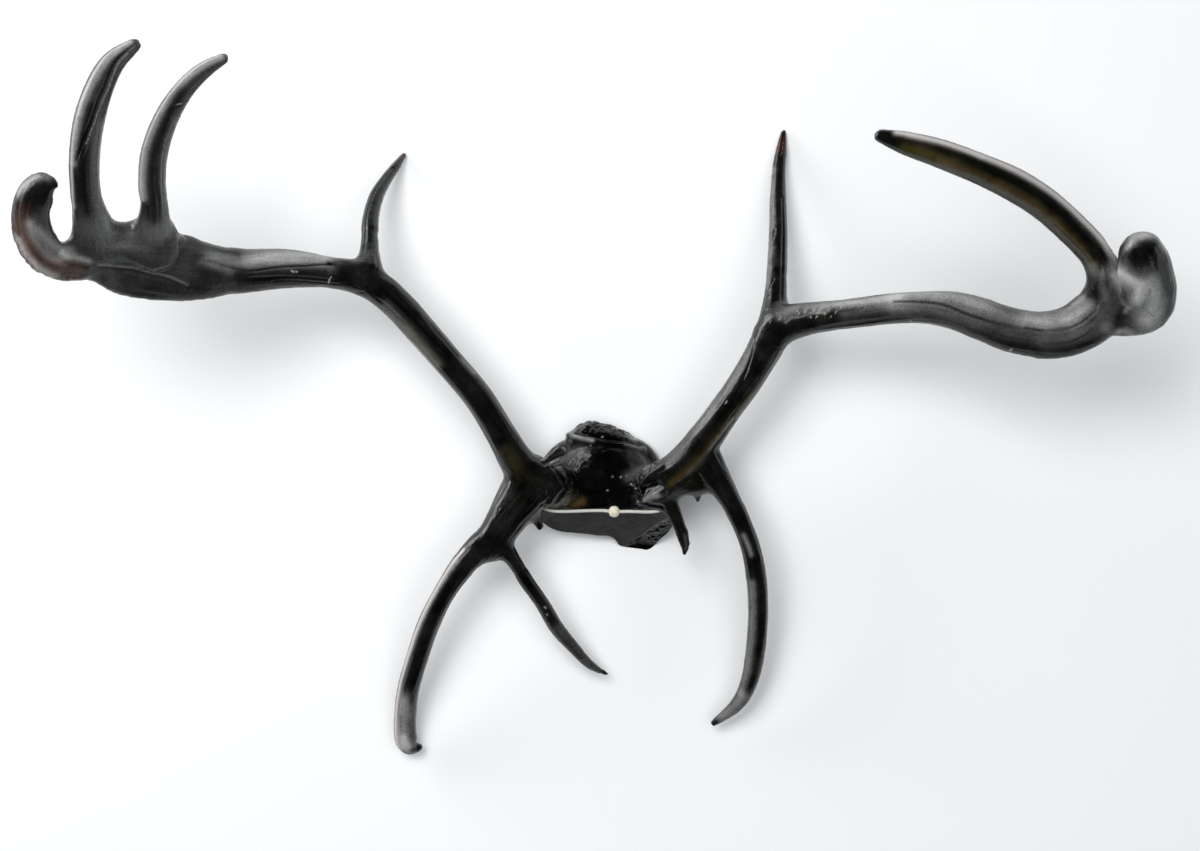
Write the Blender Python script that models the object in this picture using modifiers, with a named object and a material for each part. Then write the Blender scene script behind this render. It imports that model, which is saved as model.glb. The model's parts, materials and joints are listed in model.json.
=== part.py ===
"""Reindeer antler rack on its sawn skull cap, lying face up.

The origin is the middle of the sawn base of the skull cap. +X runs towards the right-hand
antler, +Y towards the back of the skull and +Z up, away from the surface it lies on.
The rack rests on the skull base and on the tips of its two rear tines.
"""
import math

import bmesh
import bpy
from mathutils import Matrix, Vector

MM = 0.001

# Driving dimensions, in millimetres
GAP = 0.3                    # clearance between neighbouring pieces
VOXEL = 2.5                  # grid that fuses the limbs into one bone
LOFT_STEP = 6.0              # spacing of the rings along a limb
LOFT_SIDES = 20              # points round a ring
CROTCH_REACH = 34.0          # how far a fork's fillet spreads
CROTCH_PASSES = 14           # smoothing passes that round the fillet
BONE_TRIANGLES = 6500        # size of the fused bone before it is split
SKIN = 1.2                   # added to each limb's width and depth for what the smoothing takes off

DOME_WIDTH = 102.0           # brain case seen from above
DOME_LENGTH = 106.0
DOME_HEIGHT = 59.0
DOME_CENTRE = (-2, 13)
FACE_TOP = (-15.5, 54)       # y and z of the upper edge of the sawn front face
FACE_FOOT = (-60, -2)        # y and z low on that face
BASE_DEPTH = -12.0           # how far the skull runs below its base before it is sawn flat
STRING_DIAMETER = 3.2
STRING_CLEARANCE = 0.5       # groove round the string and bead
BEAD_DIAMETER = 11.5
BEAD_LENGTH = 10.5
BEAD_BORE = 4.4

# Each limb is a row of stations: x, y, z of its axis, its width and its depth
LIMBS = {
    "left_lower_beam": [
        (-22, -1, 26, 34, 32), (-40, 3, 42, 35, 34), (-54, 7, 54, 46, 42), (-75, 19, 64, 40, 38),
        (-88, 30, 69, 35, 35), (-106, 61, 78, 29, 29), (-127, 95, 84, 28, 28), (-155, 129, 88, 28, 28),
        (-182, 160, 92, 29, 29), (-207, 188, 95, 30, 30), (-228, 206, 98, 33, 31), (-250, 215, 102, 33, 30)],
    "left_upper_beam": [
        (-228, 206, 98, 33, 30), (-250, 215, 102, 33, 29), (-273, 218, 108, 31, 28), (-294, 220, 118, 34, 27),
        (-316, 220, 131, 38, 27), (-343, 217, 148, 41, 27), (-365, 216, 163, 47, 26), (-385, 215, 180, 58, 25)],
    "left_palm": [
        (-365, 216, 163, 47, 26), (-385, 215, 180, 58, 25), (-410, 217, 200, 66, 23),
        (-435, 220, 218, 69, 22), (-459, 224, 236, 63, 21), (-476, 223, 250, 49, 20), (-488, 220, 262, 37, 18)],
    "left_rear_tine": [
        (-236, 218, 99, 34, 30), (-235, 239, 87, 21, 19), (-236, 259, 75, 18, 16), (-236, 278, 61, 16, 16),
        (-232, 300, 44, 14, 14), (-223, 320, 26, 11, 11), (-215, 334, 13, 9, 9), (-208, 347, 2, 5, 5)],
    "left_inner_top_tine": [
        (-424, 232, 218, 70, 20), (-420, 250, 234, 42, 20), (-417, 270, 245, 28, 20),
        (-417, 292, 256, 26, 21), (-412, 318, 268, 25, 20), (-399, 346, 280, 22, 18),
        (-383, 369, 288, 18, 16), (-364, 386, 294, 15, 14), (-344, 397, 298, 10, 9)],
    "left_outer_top_tine": [
        (-469, 228, 250, 66, 20), (-470, 250, 262, 43, 20), (-473, 276, 274, 29, 21),
        (-471, 306, 290, 28, 22), (-464, 340, 302, 28, 22), (-453, 368, 311, 25, 21),
        (-439, 390, 318, 21, 18), (-419, 405, 323, 12, 11)],
    "left_web": [(-472, 239, 255, 58, 19), (-448, 238, 239, 36, 19), (-423, 239, 227, 58, 19)],
    "left_end_tine": [
        (-478, 220, 256, 39, 19), (-494, 216, 268, 37, 19), (-507, 223, 284, 38, 20),
        (-514, 240, 302, 37, 20), (-512, 259, 318, 35, 19), (-503, 274, 328, 33, 20),
        (-493, 280, 334, 22, 14), (-484, 279, 338, 5, 4)],
    "left_bez_stem": [
        (-76, 10, 64, 54, 40), (-91, -13, 67, 45, 36), (-104, -33, 68, 38, 31), (-116, -52, 68, 36, 30)],
    "left_bez_outer_tine": [
        (-107, -41, 66, 32, 27), (-124, -53, 68, 31, 26), (-143, -72, 68, 25, 23), (-161, -98, 66, 22, 21),
        (-177, -129, 60, 22, 22), (-190, -165, 50, 22, 22), (-201, -202, 38, 22, 21),
        (-205, -234, 26, 22, 20), (-204, -256, 18, 22, 18), (-198, -263, 15, 14, 14), (-190, -262, 14, 6, 6)],
    "left_bez_inner_tine": [
        (-115, -46, 67, 30, 27), (-102, -56, 67, 21, 21), (-92, -69, 65, 16, 16), (-80, -89, 60, 15, 15),
        (-65, -111, 53, 14, 14), (-50, -137, 44, 14, 14), (-34, -157, 35, 12, 12), (-17, -176, 26, 9, 9),
        (1, -187, 17, 4, 4)],
    "left_brow_nub": [(-78, -7, 64, 26, 24), (-72, -22, 61, 16, 16), (-67, -34, 58, 8, 8)],
    "right_lower_beam": [
        (18, -4, 26, 34, 32), (34, -1, 41, 35, 34), (50, 5, 54, 44, 40), (75, 25, 66, 37, 36),
        (96, 51, 75, 34, 34), (117, 81, 80, 30, 30), (139, 112, 86, 31, 31), (156, 141, 91, 34, 32),
        (169, 164, 95, 38, 34), (190, 171, 101, 35, 31)],
    "right_upper_beam": [
        (169, 164, 95, 38, 34), (190, 171, 101, 35, 31), (221, 175, 112, 29, 28), (249, 178, 122, 29, 27),
        (277, 181, 131, 29, 26), (305, 182, 140, 31, 26), (333, 179, 148, 36, 28), (360, 170, 156, 40, 28),
        (388, 159, 163, 44, 27), (416, 154, 168, 45, 27)],
    "right_palm": [
        (388, 159, 163, 44, 27), (416, 154, 168, 45, 27), (443, 158, 173, 48, 26), (465, 173, 179, 51, 26),
        (475, 193, 185, 46, 25), (475, 210, 192, 38, 25)],
    "right_rear_tine": [
        (167, 168, 94, 36, 30), (168, 191, 83, 25, 24), (170, 210, 73, 22, 22), (172, 233, 60, 20, 20),
        (174, 264, 44, 19, 19), (175, 296, 29, 17, 17), (177, 328, 15, 14, 14), (180, 350, 7, 11, 11),
        (183, 370, 2, 6, 5)],
    "right_top_tine": [
        (475, 191, 184, 46, 27), (469, 213, 195, 35, 25), (455, 233, 206, 31, 24), (430, 255, 220, 31, 24),
        (404, 274, 233, 31, 24), (374, 290, 244, 31, 24), (340, 304, 254, 28, 23), (305, 316, 262, 26, 22),
        (272, 325, 268, 21, 18), (249, 331, 271, 12, 11)],
    "right_end_tine": [
        (474, 178, 180, 50, 26), (492, 175, 186, 46, 27), (509, 180, 195, 50, 30), (510, 193, 206, 52, 33),
        (505, 205, 216, 52, 35), (499, 217, 226, 51, 36), (494, 227, 236, 43, 33)],
    "right_web": [(59, 5, 59, 34, 25), (77, 14, 64, 34, 21), (97, 16, 68, 34, 20), (111, 16, 71, 28, 20)],
    "right_web_nub": [(91, 8, 66, 22, 15), (92, -2, 62, 11, 9), (92, -11, 60, 4, 4)],
    "right_bez_tine": [
        (99, 32, 72, 36, 29), (108, 18, 72, 30, 26), (119, 1, 73, 24, 24), (132, -23, 72, 20, 20),
        (144, -53, 70, 19, 19), (151, -88, 64, 20, 20), (153, -124, 55, 20, 20), (151, -160, 45, 19, 19),
        (145, -193, 36, 17, 17), (133, -217, 28, 14, 14), (110, -237, 18, 7, 7)],
    "right_brow_tine": [
        (57, -3, 57, 26, 24), (66, -17, 59, 18, 16), (72, -30, 63, 15, 12), (77, -44, 67, 12, 9),
        (79, -54, 69, 9, 7), (78, -61, 70, 4, 4)],
}

# Rims and temples of the skull cap, lofted in the same way
SKULL_RIMS = {
    "nape": [
        (-34, 47, 12, 22, 40), (-25, 52, 16, 28, 48), (-10, 55, 18, 28, 52), (6, 53, 17, 26, 48),
        (20, 47, 13, 20, 40), (34, 40, 9, 16, 34)],
    "nape_knob": [(-25, 60, 16, 18, 34), (-12, 63, 19, 15, 36), (2, 58, 17, 15, 34)],
    "left_temple": [(-26, 46, 8, 26, 38), (-44, 37, 6, 26, 36), (-56, 26, 3, 22, 32), (-61, 12, 1, 18, 30)],
    "right_temple": [(26, 44, 8, 24, 36), (38, 36, 6, 24, 34), (47, 26, 2, 20, 30), (52, 14, 0, 18, 30)],
}

# The chipped outline of the brow, seen from above, and its height before its face is sawn
BROW_EDGE = [
    (-60, -8), (-67, -24), (-64, -31), (-56, -37), (-48, -40), (-27, -42), (-5, -45), (4, -45), (10, -49),
    (13, -55), (18, -57), (43, -60), (47, -58), (53, -51), (62, -43), (68, -34), (68, -28), (60, -8)]
BROW_HEIGHT = 53

# The upward side of a limb that leans with the palm it grows from; other limbs lie level
LEANS = {"left_inner_top_tine": (0.59, 0.0, 0.81), "left_outer_top_tine": (0.59, 0.0, 0.81),
         "left_web": (0.59, 0.0, 0.81)}
LEVEL = (0.0, 0.0, 1.0)

# Where the bone is split: limb, distance along its stations (2.5 is halfway from the third
# station to the fourth) and the radius of the saw disc
FORKS = [
    ("left_lower_beam", 1.35, 44), ("left_bez_stem", 1.6, 24), ("left_bez_outer_tine", 1.4, 21),
    ("left_bez_inner_tine", 1.45, 13), ("left_rear_tine", 1.35, 15), ("left_upper_beam", 1.8, 25),
    ("left_palm", 1.35, 40), ("left_inner_top_tine", 1.6, 25), ("left_outer_top_tine", 1.5, 25),
    ("left_end_tine", 1.25, 25),
    ("right_lower_beam", 1.35, 53), ("right_brow_tine", 1.1, 14), ("right_bez_tine", 2.0, 18),
    ("right_rear_tine", 1.65, 17), ("right_upper_beam", 1.4, 24), ("right_palm", 0.5, 32),
    ("right_top_tine", 1.5, 23),
]
# The broad end tine parts from the palm on its own plane: centre, direction and radius
END_SAW = ((491, 190, 200), (1, -0.05, 0.28), 71)

# Piece name and the limb and station that lie inside it
PIECES = {
    "left_lower_beam": 6, "left_bez_stem": 2, "left_bez_outer_tine": 5, "left_bez_inner_tine": 4,
    "left_rear_tine": 4, "left_upper_beam": 4, "left_palm": 3, "left_inner_top_tine": 4,
    "left_outer_top_tine": 4, "left_end_tine": 4,
    "right_lower_beam": 5, "right_brow_tine": 3, "right_bez_tine": 5, "right_rear_tine": 4,
    "right_upper_beam": 4, "right_palm": 3, "right_top_tine": 5, "right_end_tine": 4,
}

# The string's own points, across the front of the skull from burr to burr
STRING_ROUTE = [(-63, -16, 54.5), (-54, -18.5, 55.6), (-41, -19, 56.6), (-27, -18.5, 57.4), (-6, -18, 58.2),
                (8, -19, 58.6), (26, -19, 58.2), (39, -19.5, 57.4), (49, -19, 56.4), (57, -17.5, 55.2)]
BEAD_STATION = 5


def catmull_rom(rows, t):
    """The smooth curve through rows of numbers, at t stations along it."""
    last = len(rows) - 1
    i = min(int(t), last - 1)
    u = t - i
    before, start, end, after = (rows[max(0, min(last, i + k))] for k in (-1, 0, 1, 2))
    return [0.5 * (2 * b + (c - a) * u + (2 * a - 5 * b + 4 * c - d) * u * u
                   + (3 * b - a - 3 * c + d) * u ** 3)
            for a, b, c, d in zip(before, start, end, after)]


def route_frame(rows, t, upward=LEVEL):
    """A frame on a limb: X across its width, Y through its depth and Z along it, in metres."""
    here = Vector(catmull_rom(rows, t)[:3])
    ahead = Vector(catmull_rom(rows, min(t + 0.05, len(rows) - 1))[:3])
    behind = Vector(catmull_rom(rows, max(t - 0.05, 0))[:3])
    along = (ahead - behind).normalized()
    across = along.cross(Vector(upward)).normalized()
    through = along.cross(across)
    turn = Matrix((across, through, along)).transposed().to_4x4()
    return Matrix.Translation(here * MM) @ turn


def ring_places(rows, upward):
    """The place and size of each ring of a limb, the last ones rounding off its tip."""
    places = []
    for i in range(len(rows) - 1):
        run = (Vector(rows[i + 1][:3]) - Vector(rows[i][:3])).length
        count = max(1, round(run / LOFT_STEP))
        places += [i + k / count for k in range(count)]
    places.append(len(rows) - 1)
    rings = []
    for t in places:
        width, depth = catmull_rom(rows, t)[3:5]
        size = Matrix.Diagonal(((width + SKIN) * MM / 2, (depth + SKIN) * MM / 2, 1, 1))
        rings.append(route_frame(rows, t, upward) @ size)
    tip, tip_reach = rings[-1], rows[-1][3] * MM / 2
    for share in (0.5, 0.85):
        shrink = math.sqrt(1 - share * share)
        push = Matrix.Translation((0, 0, tip_reach * share))
        rings.append(tip @ push @ Matrix.Diagonal((shrink, shrink, 1, 1)))
    return rings


def loft_limb(bm, rows, upward=LEVEL):
    """A closed limb lofted through elliptical rings."""
    rings = ring_places(rows, upward)
    made = bmesh.ops.create_circle(bm, cap_ends=True, segments=LOFT_SIDES, radius=1.0, matrix=rings[0])
    edges = list({edge for vert in made["verts"] for edge in vert.link_edges})
    for before, after in zip(rings, rings[1:]):
        grown = bmesh.ops.extrude_edge_only(bm, edges=edges)["geom"]
        verts = [item for item in grown if isinstance(item, bmesh.types.BMVert)]
        edges = [edge for edge in grown if isinstance(edge, bmesh.types.BMEdge)
                 and all(vert in verts for vert in edge.verts)]
        bmesh.ops.transform(bm, matrix=after @ before.inverted(), verts=verts)
    bmesh.ops.contextual_create(bm, geom=edges)


def saw_flat(bm, point, normal):
    """Cut away what lies beyond a plane and close the cut."""
    geom = bm.verts[:] + bm.edges[:] + bm.faces[:]
    bmesh.ops.bisect_plane(bm, geom=geom, dist=1e-7, plane_co=point, plane_no=normal, clear_outer=True)
    bmesh.ops.holes_fill(bm, edges=[edge for edge in bm.edges if edge.is_boundary], sides=0)


def raise_brow(bm):
    """The block behind the sawn face, with its chipped lower edge."""
    verts = [bm.verts.new((x * MM, y * MM, BASE_DEPTH * MM)) for x, y in BROW_EDGE]
    base = bm.faces.new(verts)
    grown = bmesh.ops.extrude_face_region(bm, geom=[base])["geom"]
    top = [item for item in grown if isinstance(item, bmesh.types.BMVert)]
    bmesh.ops.translate(bm, vec=(0, 0, (BROW_HEIGHT - BASE_DEPTH) * MM), verts=top)


def add_skull(bm):
    """The brain case with its brow, nape and temples, the front of it sawn to a sloping face."""
    place = Matrix.Translation((DOME_CENTRE[0] * MM, DOME_CENTRE[1] * MM, 0))
    size = Matrix.Diagonal((DOME_WIDTH * MM / 2, DOME_LENGTH * MM / 2, DOME_HEIGHT * MM, 1))
    bmesh.ops.create_uvsphere(bm, u_segments=40, v_segments=24, radius=1.0, matrix=place @ size)
    raise_brow(bm)
    for rows in SKULL_RIMS.values():
        loft_limb(bm, rows)
    bmesh.ops.recalc_face_normals(bm, faces=bm.faces)
    fall = Vector((0, FACE_FOOT[0] - FACE_TOP[0], FACE_FOOT[1] - FACE_TOP[1]))
    saw_flat(bm, (0, FACE_TOP[0] * MM, FACE_TOP[1] * MM), fall.cross(Vector((1, 0, 0))))
    saw_flat(bm, (0, 0, BASE_DEPTH * MM), (0, 0, -1))


def link(obj, collection):
    collection.objects.link(obj)
    return obj


def new_object(name, bm, collection):
    mesh = bpy.data.meshes.new(name)
    bm.to_mesh(mesh)
    bm.free()
    return link(bpy.data.objects.new(name, mesh), collection)


def evaluated_mesh(obj):
    bpy.context.view_layer.update()
    depsgraph = bpy.context.evaluated_depsgraph_get()
    return bpy.data.meshes.new_from_object(obj.evaluated_get(depsgraph))


def replace_mesh(obj, mesh):
    obj.modifiers.clear()
    obj.data = mesh


def fuse_bone(collection):
    """All limbs and the brain case fused on a fine grid into one closed bone."""
    bm = bmesh.new()
    add_skull(bm)
    for limb, rows in LIMBS.items():
        loft_limb(bm, rows, LEANS.get(limb, LEVEL))
    bmesh.ops.recalc_face_normals(bm, faces=bm.faces)
    bone = new_object("bone", bm, collection)
    grid = bone.modifiers.new("fuse", "REMESH")
    grid.mode = "VOXEL"
    grid.voxel_size = VOXEL * MM
    replace_mesh(bone, evaluated_mesh(bone))
    return bone


def fork_centre(limb, t):
    return Vector(catmull_rom(LIMBS[limb], t)[:3]) * MM


def round_crotches(bone):
    """Smooth the bone near each fork, so that limbs flow into each other."""
    bm = bmesh.new()
    bm.from_mesh(bone.data)
    centres = [fork_centre(limb, max(0.0, t - 0.6)) for limb, t, _ in FORKS]
    near = [vert for vert in bm.verts
            if min((vert.co - centre).length for centre in centres) < CROTCH_REACH * MM]
    for _ in range(CROTCH_PASSES):
        bmesh.ops.smooth_vert(bm, verts=near, factor=0.5, use_axis_x=True, use_axis_y=True, use_axis_z=True)
    bm.to_mesh(bone.data)
    bm.free()


def thin_out(bone):
    """Fewer, larger facets."""
    bone.data.calc_loop_triangles()
    thinner = bone.modifiers.new("facets", "DECIMATE")
    thinner.ratio = BONE_TRIANGLES / len(bone.data.loop_triangles)
    replace_mesh(bone, evaluated_mesh(bone))


def saw_base(bone):
    """Saw the bone off flat at the surface that it lies on."""
    bm = bmesh.new()
    bm.from_mesh(bone.data)
    saw_flat(bm, (0, 0, 0), (0, 0, -1))
    bmesh.ops.triangulate(bm, faces=bm.faces)
    bm.to_mesh(bone.data)
    bm.free()


def add_disc(bm, place, radius):
    bmesh.ops.create_cone(bm, cap_ends=True, segments=24, radius1=radius * MM, radius2=radius * MM,
                          depth=GAP * MM, matrix=place)


def saw_discs(collection):
    """One cutter with a thin disc across each fork."""
    bm = bmesh.new()
    for limb, t, radius in FORKS:
        frame = route_frame(LIMBS[limb], t, LEANS.get(limb, LEVEL))
        add_disc(bm, frame, radius)
    centre, direction, radius = END_SAW
    turn = Vector((0, 0, 1)).rotation_difference(Vector(direction).normalized())
    add_disc(bm, Matrix.Translation(Vector(centre) * MM) @ turn.to_matrix().to_4x4(), radius)
    return new_object("saw_discs", bm, collection)


def string_points():
    """The string's path, read from the smooth curve through its route."""
    last = len(STRING_ROUTE) - 1
    count = 3 * last
    return [Vector(catmull_rom(STRING_ROUTE, last * k / count)) * MM for k in range(count + 1)]


def string_tube(name, diameter, collection):
    curve = bpy.data.curves.new(name, "CURVE")
    curve.dimensions = "3D"
    curve.bevel_depth = diameter * MM / 2
    curve.bevel_resolution = 2
    curve.use_fill_caps = True
    spline = curve.splines.new("POLY")
    points = string_points()
    spline.points.add(len(points) - 1)
    for point, place in zip(spline.points, points):
        point.co = (*place, 1)
    return link(bpy.data.objects.new(name, curve), collection)


def bead_frame():
    return route_frame([(*row, 1, 1) for row in STRING_ROUTE], BEAD_STATION)


def bead(name, diameter, length, bore, collection):
    """A barrel bead: a closed profile turned round the string."""
    bm = bmesh.new()
    steps = 6
    outer, half = diameter * MM / 2, length * MM / 2
    profile = []
    for k in range(steps + 1):
        angle = math.radians(-62 + 124 * k / steps)
        profile.append((outer * math.cos(angle), 0, half * math.sin(angle) / math.sin(math.radians(62))))
    profile += [(bore * MM / 2, 0, half * 0.9), (bore * MM / 2, 0, -half * 0.9)]
    verts = [bm.verts.new(place) for place in profile]
    for a, b in zip(verts, verts[1:] + verts[:1]):
        bm.edges.new((a, b))
    bmesh.ops.spin(bm, geom=bm.verts[:] + bm.edges[:], cent=(0, 0, 0), axis=(0, 0, 1), dvec=(0, 0, 0),
                   angle=2 * math.pi, steps=14, use_merge=True)
    bmesh.ops.recalc_face_normals(bm, faces=bm.faces)
    bmesh.ops.transform(bm, matrix=bead_frame(), verts=bm.verts)
    return new_object(name, bm, collection)


def string_groove(collection):
    """The room that the string takes up, as a closed mesh."""
    tube = string_tube("string_groove_curve", STRING_DIAMETER + 2 * STRING_CLEARANCE, collection)
    mesh = evaluated_mesh(tube)
    bpy.data.objects.remove(tube)
    bm = bmesh.new()
    bm.from_mesh(mesh)
    bmesh.ops.remove_doubles(bm, verts=bm.verts, dist=1e-6)
    return new_object("string_groove", bm, collection)


def bead_seat(collection):
    """The room that the bead takes up."""
    bm = bmesh.new()
    size = Matrix.Diagonal((BEAD_DIAMETER * MM / 2 + STRING_CLEARANCE * MM,
                            BEAD_DIAMETER * MM / 2 + STRING_CLEARANCE * MM,
                            BEAD_LENGTH * MM / 2 + 2 * STRING_CLEARANCE * MM, 1))
    bmesh.ops.create_uvsphere(bm, u_segments=20, v_segments=12, radius=1.0, matrix=bead_frame() @ size)
    return new_object("bead_seat", bm, collection)


def cut(bone, cutters):
    for cutter in cutters:
        step = bone.modifiers.new(cutter.name, "BOOLEAN")
        step.operation = "DIFFERENCE"
        step.object = cutter
    replace_mesh(bone, evaluated_mesh(bone))


def split_islands(bone):
    """The loose bodies of a mesh, each in a bmesh of its own."""
    whole = bmesh.new()
    whole.from_mesh(bone.data)
    unseen = set(whole.verts)
    islands = []
    while unseen:
        queue = [unseen.pop()]
        island = set(queue)
        while queue:
            for edge in queue.pop().link_edges:
                for vert in edge.verts:
                    if vert in unseen:
                        unseen.remove(vert)
                        island.add(vert)
                        queue.append(vert)
        part = whole.copy()
        keep = {vert.index for vert in island}
        bmesh.ops.delete(part, geom=[vert for vert in part.verts if vert.index not in keep], context="VERTS")
        islands.append(part)
    whole.free()
    return islands


def nearest_island(islands, place):
    return min(islands, key=lambda bm: min((vert.co - place).length for vert in bm.verts))


def finish_material(name, colour, roughness):
    material = bpy.data.materials.new(name)
    material.use_nodes = True
    shader = material.node_tree.nodes["Principled BSDF"]
    shader.inputs["Base Color"].default_value = (*colour, 1)
    shader.inputs["Roughness"].default_value = roughness
    shader.inputs["Metallic"].default_value = 0.0
    return material


def name_pieces(bone, collection):
    """Give each body of the split bone its name and its own material."""
    islands = split_islands(bone)
    if len(islands) != len(PIECES) + 1:
        raise ValueError(f"the bone split into {len(islands)} bodies, not {len(PIECES) + 1}")
    found = {"skull_cap": nearest_island(islands, Vector((0, 0, 0)))}
    for name, station in PIECES.items():
        found[name] = nearest_island(islands, Vector(LIMBS[name][station][:3]) * MM)
    if len({id(bm) for bm in found.values()}) != len(islands):
        raise ValueError("two names fell on one body")
    for name, bm in found.items():
        piece = new_object(name, bm, collection)
        piece.data.materials.append(finish_material(f"{name}_stain", (0.022, 0.019, 0.017), 0.34))
        piece.data.shade_smooth()
        piece.data.set_sharp_from_angle(angle=math.radians(40))
    bpy.data.objects.remove(bone)


def main():
    for obj in list(bpy.data.objects):
        bpy.data.objects.remove(obj)
    parts = bpy.data.collections.new("antler_rack")
    cutters = bpy.data.collections.new("cutters")
    for collection in (parts, cutters):
        bpy.context.scene.collection.children.link(collection)

    bone = fuse_bone(cutters)
    round_crotches(bone)
    thin_out(bone)
    saw_base(bone)
    string = string_tube("string", STRING_DIAMETER, parts)
    string.data.materials.append(finish_material("white_string", (0.80, 0.78, 0.72), 0.8))
    ball = bead("string_bead", BEAD_DIAMETER, BEAD_LENGTH, BEAD_BORE, parts)
    ball.data.materials.append(finish_material("bead_cream", (0.78, 0.72, 0.58), 0.5))
    tools = [saw_discs(cutters), string_groove(cutters), bead_seat(cutters)]
    cut(bone, tools)
    name_pieces(bone, parts)
    for cutter in tools:
        cutter.hide_render = True
        cutter.display_type = "WIRE"


main()
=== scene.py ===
import json
import math

import bmesh
import bpy
import numpy as np
from mathutils import Matrix, Vector, kdtree

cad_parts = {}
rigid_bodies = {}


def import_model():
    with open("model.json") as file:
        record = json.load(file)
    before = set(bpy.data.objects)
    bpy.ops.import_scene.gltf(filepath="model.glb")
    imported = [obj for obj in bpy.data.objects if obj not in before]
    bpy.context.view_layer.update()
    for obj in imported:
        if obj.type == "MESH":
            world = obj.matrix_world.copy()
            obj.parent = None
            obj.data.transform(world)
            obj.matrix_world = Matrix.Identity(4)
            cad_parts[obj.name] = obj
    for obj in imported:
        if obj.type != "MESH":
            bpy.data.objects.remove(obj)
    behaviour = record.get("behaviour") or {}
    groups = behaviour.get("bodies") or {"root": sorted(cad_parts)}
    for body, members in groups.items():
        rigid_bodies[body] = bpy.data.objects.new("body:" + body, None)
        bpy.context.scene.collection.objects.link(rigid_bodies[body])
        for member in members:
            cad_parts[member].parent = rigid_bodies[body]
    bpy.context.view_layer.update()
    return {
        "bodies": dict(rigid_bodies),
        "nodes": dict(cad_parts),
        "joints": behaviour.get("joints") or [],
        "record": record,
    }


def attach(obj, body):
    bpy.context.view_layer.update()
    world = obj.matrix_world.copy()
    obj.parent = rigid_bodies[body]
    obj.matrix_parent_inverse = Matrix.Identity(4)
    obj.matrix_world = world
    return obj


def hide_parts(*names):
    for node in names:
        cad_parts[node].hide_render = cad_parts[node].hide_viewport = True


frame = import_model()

mm = 0.001


def linkObject(name, data):
    item = bpy.data.objects.new(name, data)
    bpy.context.collection.objects.link(item)
    return item


def meshFrom(bm, name):
    mesh = bpy.data.meshes.new(name)
    bm.to_mesh(mesh)
    bm.free()
    return mesh


def readVectors(source, field):
    values = np.empty(len(source) * 3)
    source.foreach_get(field, values)
    return values.reshape(-1, 3)


cameraSetup = {"place": (-0.0062, 0.0675, 2.3), "lens": 66.9, "sensor": 36.0}
floorSetup = {"size": 16.0, "colour": (0.875, 0.885, 0.895), "roughness": 0.8}
lightSetup = {       # place, the point it faces, size, power, colour, and whether it shows in gloss
    "window": ((-1.3, 1.4, 3.6), (0.1, 0.0, 0.0), (2.0, 1.8), 90.0, (1.0, 0.992, 0.98), False),
    "sideboard": ((-2.8, 1.8, 0.85), (0, 0.1, 0.15), (2.8, 1.4), 80.0, (1.0, 1.0, 1.0), True),
    "ceiling": ((0.2, 0.2, 4.4), (0.1, 0.05, 0), (5.0, 4.0), 138.0, (0.96, 0.98, 1.0), False),
}
roomSetup = {"low": (0.80, 0.84, 0.88), "high": (0.010, 0.011, 0.012), "lowUntil": 0.02, "highFrom": 0.34,
             "strength": 1.0}


def makeCamera():
    data = bpy.data.cameras.new("camera")
    data.lens = cameraSetup["lens"]
    data.sensor_width = cameraSetup["sensor"]
    data.clip_end = 50
    camera = linkObject("camera", data)
    camera.location = cameraSetup["place"]      # looks straight down with +Y up the picture
    bpy.context.scene.camera = camera
    bpy.context.scene.view_settings.view_transform = "Standard"


def makeFloor():
    bm = bmesh.new()
    bmesh.ops.create_grid(bm, x_segments=1, y_segments=1, size=floorSetup["size"] / 2)
    floor = linkObject("floor", meshFrom(bm, "floor"))
    material = bpy.data.materials.new("floor_white")
    material.use_nodes = True
    shader = material.node_tree.nodes["Principled BSDF"]
    shader.inputs["Base Color"].default_value = (*floorSetup["colour"], 1)
    shader.inputs["Roughness"].default_value = floorSetup["roughness"]
    floor.data.materials.append(material)


def makeLights():
    for name, (place, target, size, power, colour, glossy) in lightSetup.items():
        data = bpy.data.lights.new(name, "AREA")
        data.shape = "RECTANGLE"
        data.size, data.size_y = size
        data.energy = power
        data.color = colour
        light = linkObject(name, data)
        light.location = place
        aim = Vector(target) - light.location
        light.rotation_euler = aim.to_track_quat("-Z", "Y").to_euler()
        light.visible_glossy = glossy


def makeRoom():       # pale walls low down, a dim ceiling overhead
    world = bpy.data.worlds.new("room")
    world.use_nodes = True
    nodes, links = world.node_tree.nodes, world.node_tree.links
    where = nodes.new("ShaderNodeTexCoord")
    parts = nodes.new("ShaderNodeSeparateXYZ")
    ramp = nodes.new("ShaderNodeValToRGB")
    links.new(where.outputs["Generated"], parts.inputs[0])
    links.new(parts.outputs["Z"], ramp.inputs["Fac"])
    ramp.color_ramp.interpolation = "EASE"
    first, second = ramp.color_ramp.elements
    first.position, first.color = roomSetup["lowUntil"], (*roomSetup["low"], 1)
    second.position, second.color = roomSetup["highFrom"], (*roomSetup["high"], 1)
    links.new(ramp.outputs["Color"], nodes["Background"].inputs["Color"])
    nodes["Background"].inputs["Strength"].default_value = roomSetup["strength"]
    bpy.context.scene.world = world


makeCamera()
makeFloor()
makeLights()
makeRoom()
print("camera, floor and lights are up")

# A route's stations are x, y, z of the axis, width and depth, in millimetres. "saw" is where the
# branch parts from the one before it, in stations, with the saw's reach; "inside" is a station
# well within the piece. "up" is the face that leans with the palm.

level = (0.0, 0.0, 1.0)
palmLean = (0.59, 0.0, 0.81)

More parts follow.
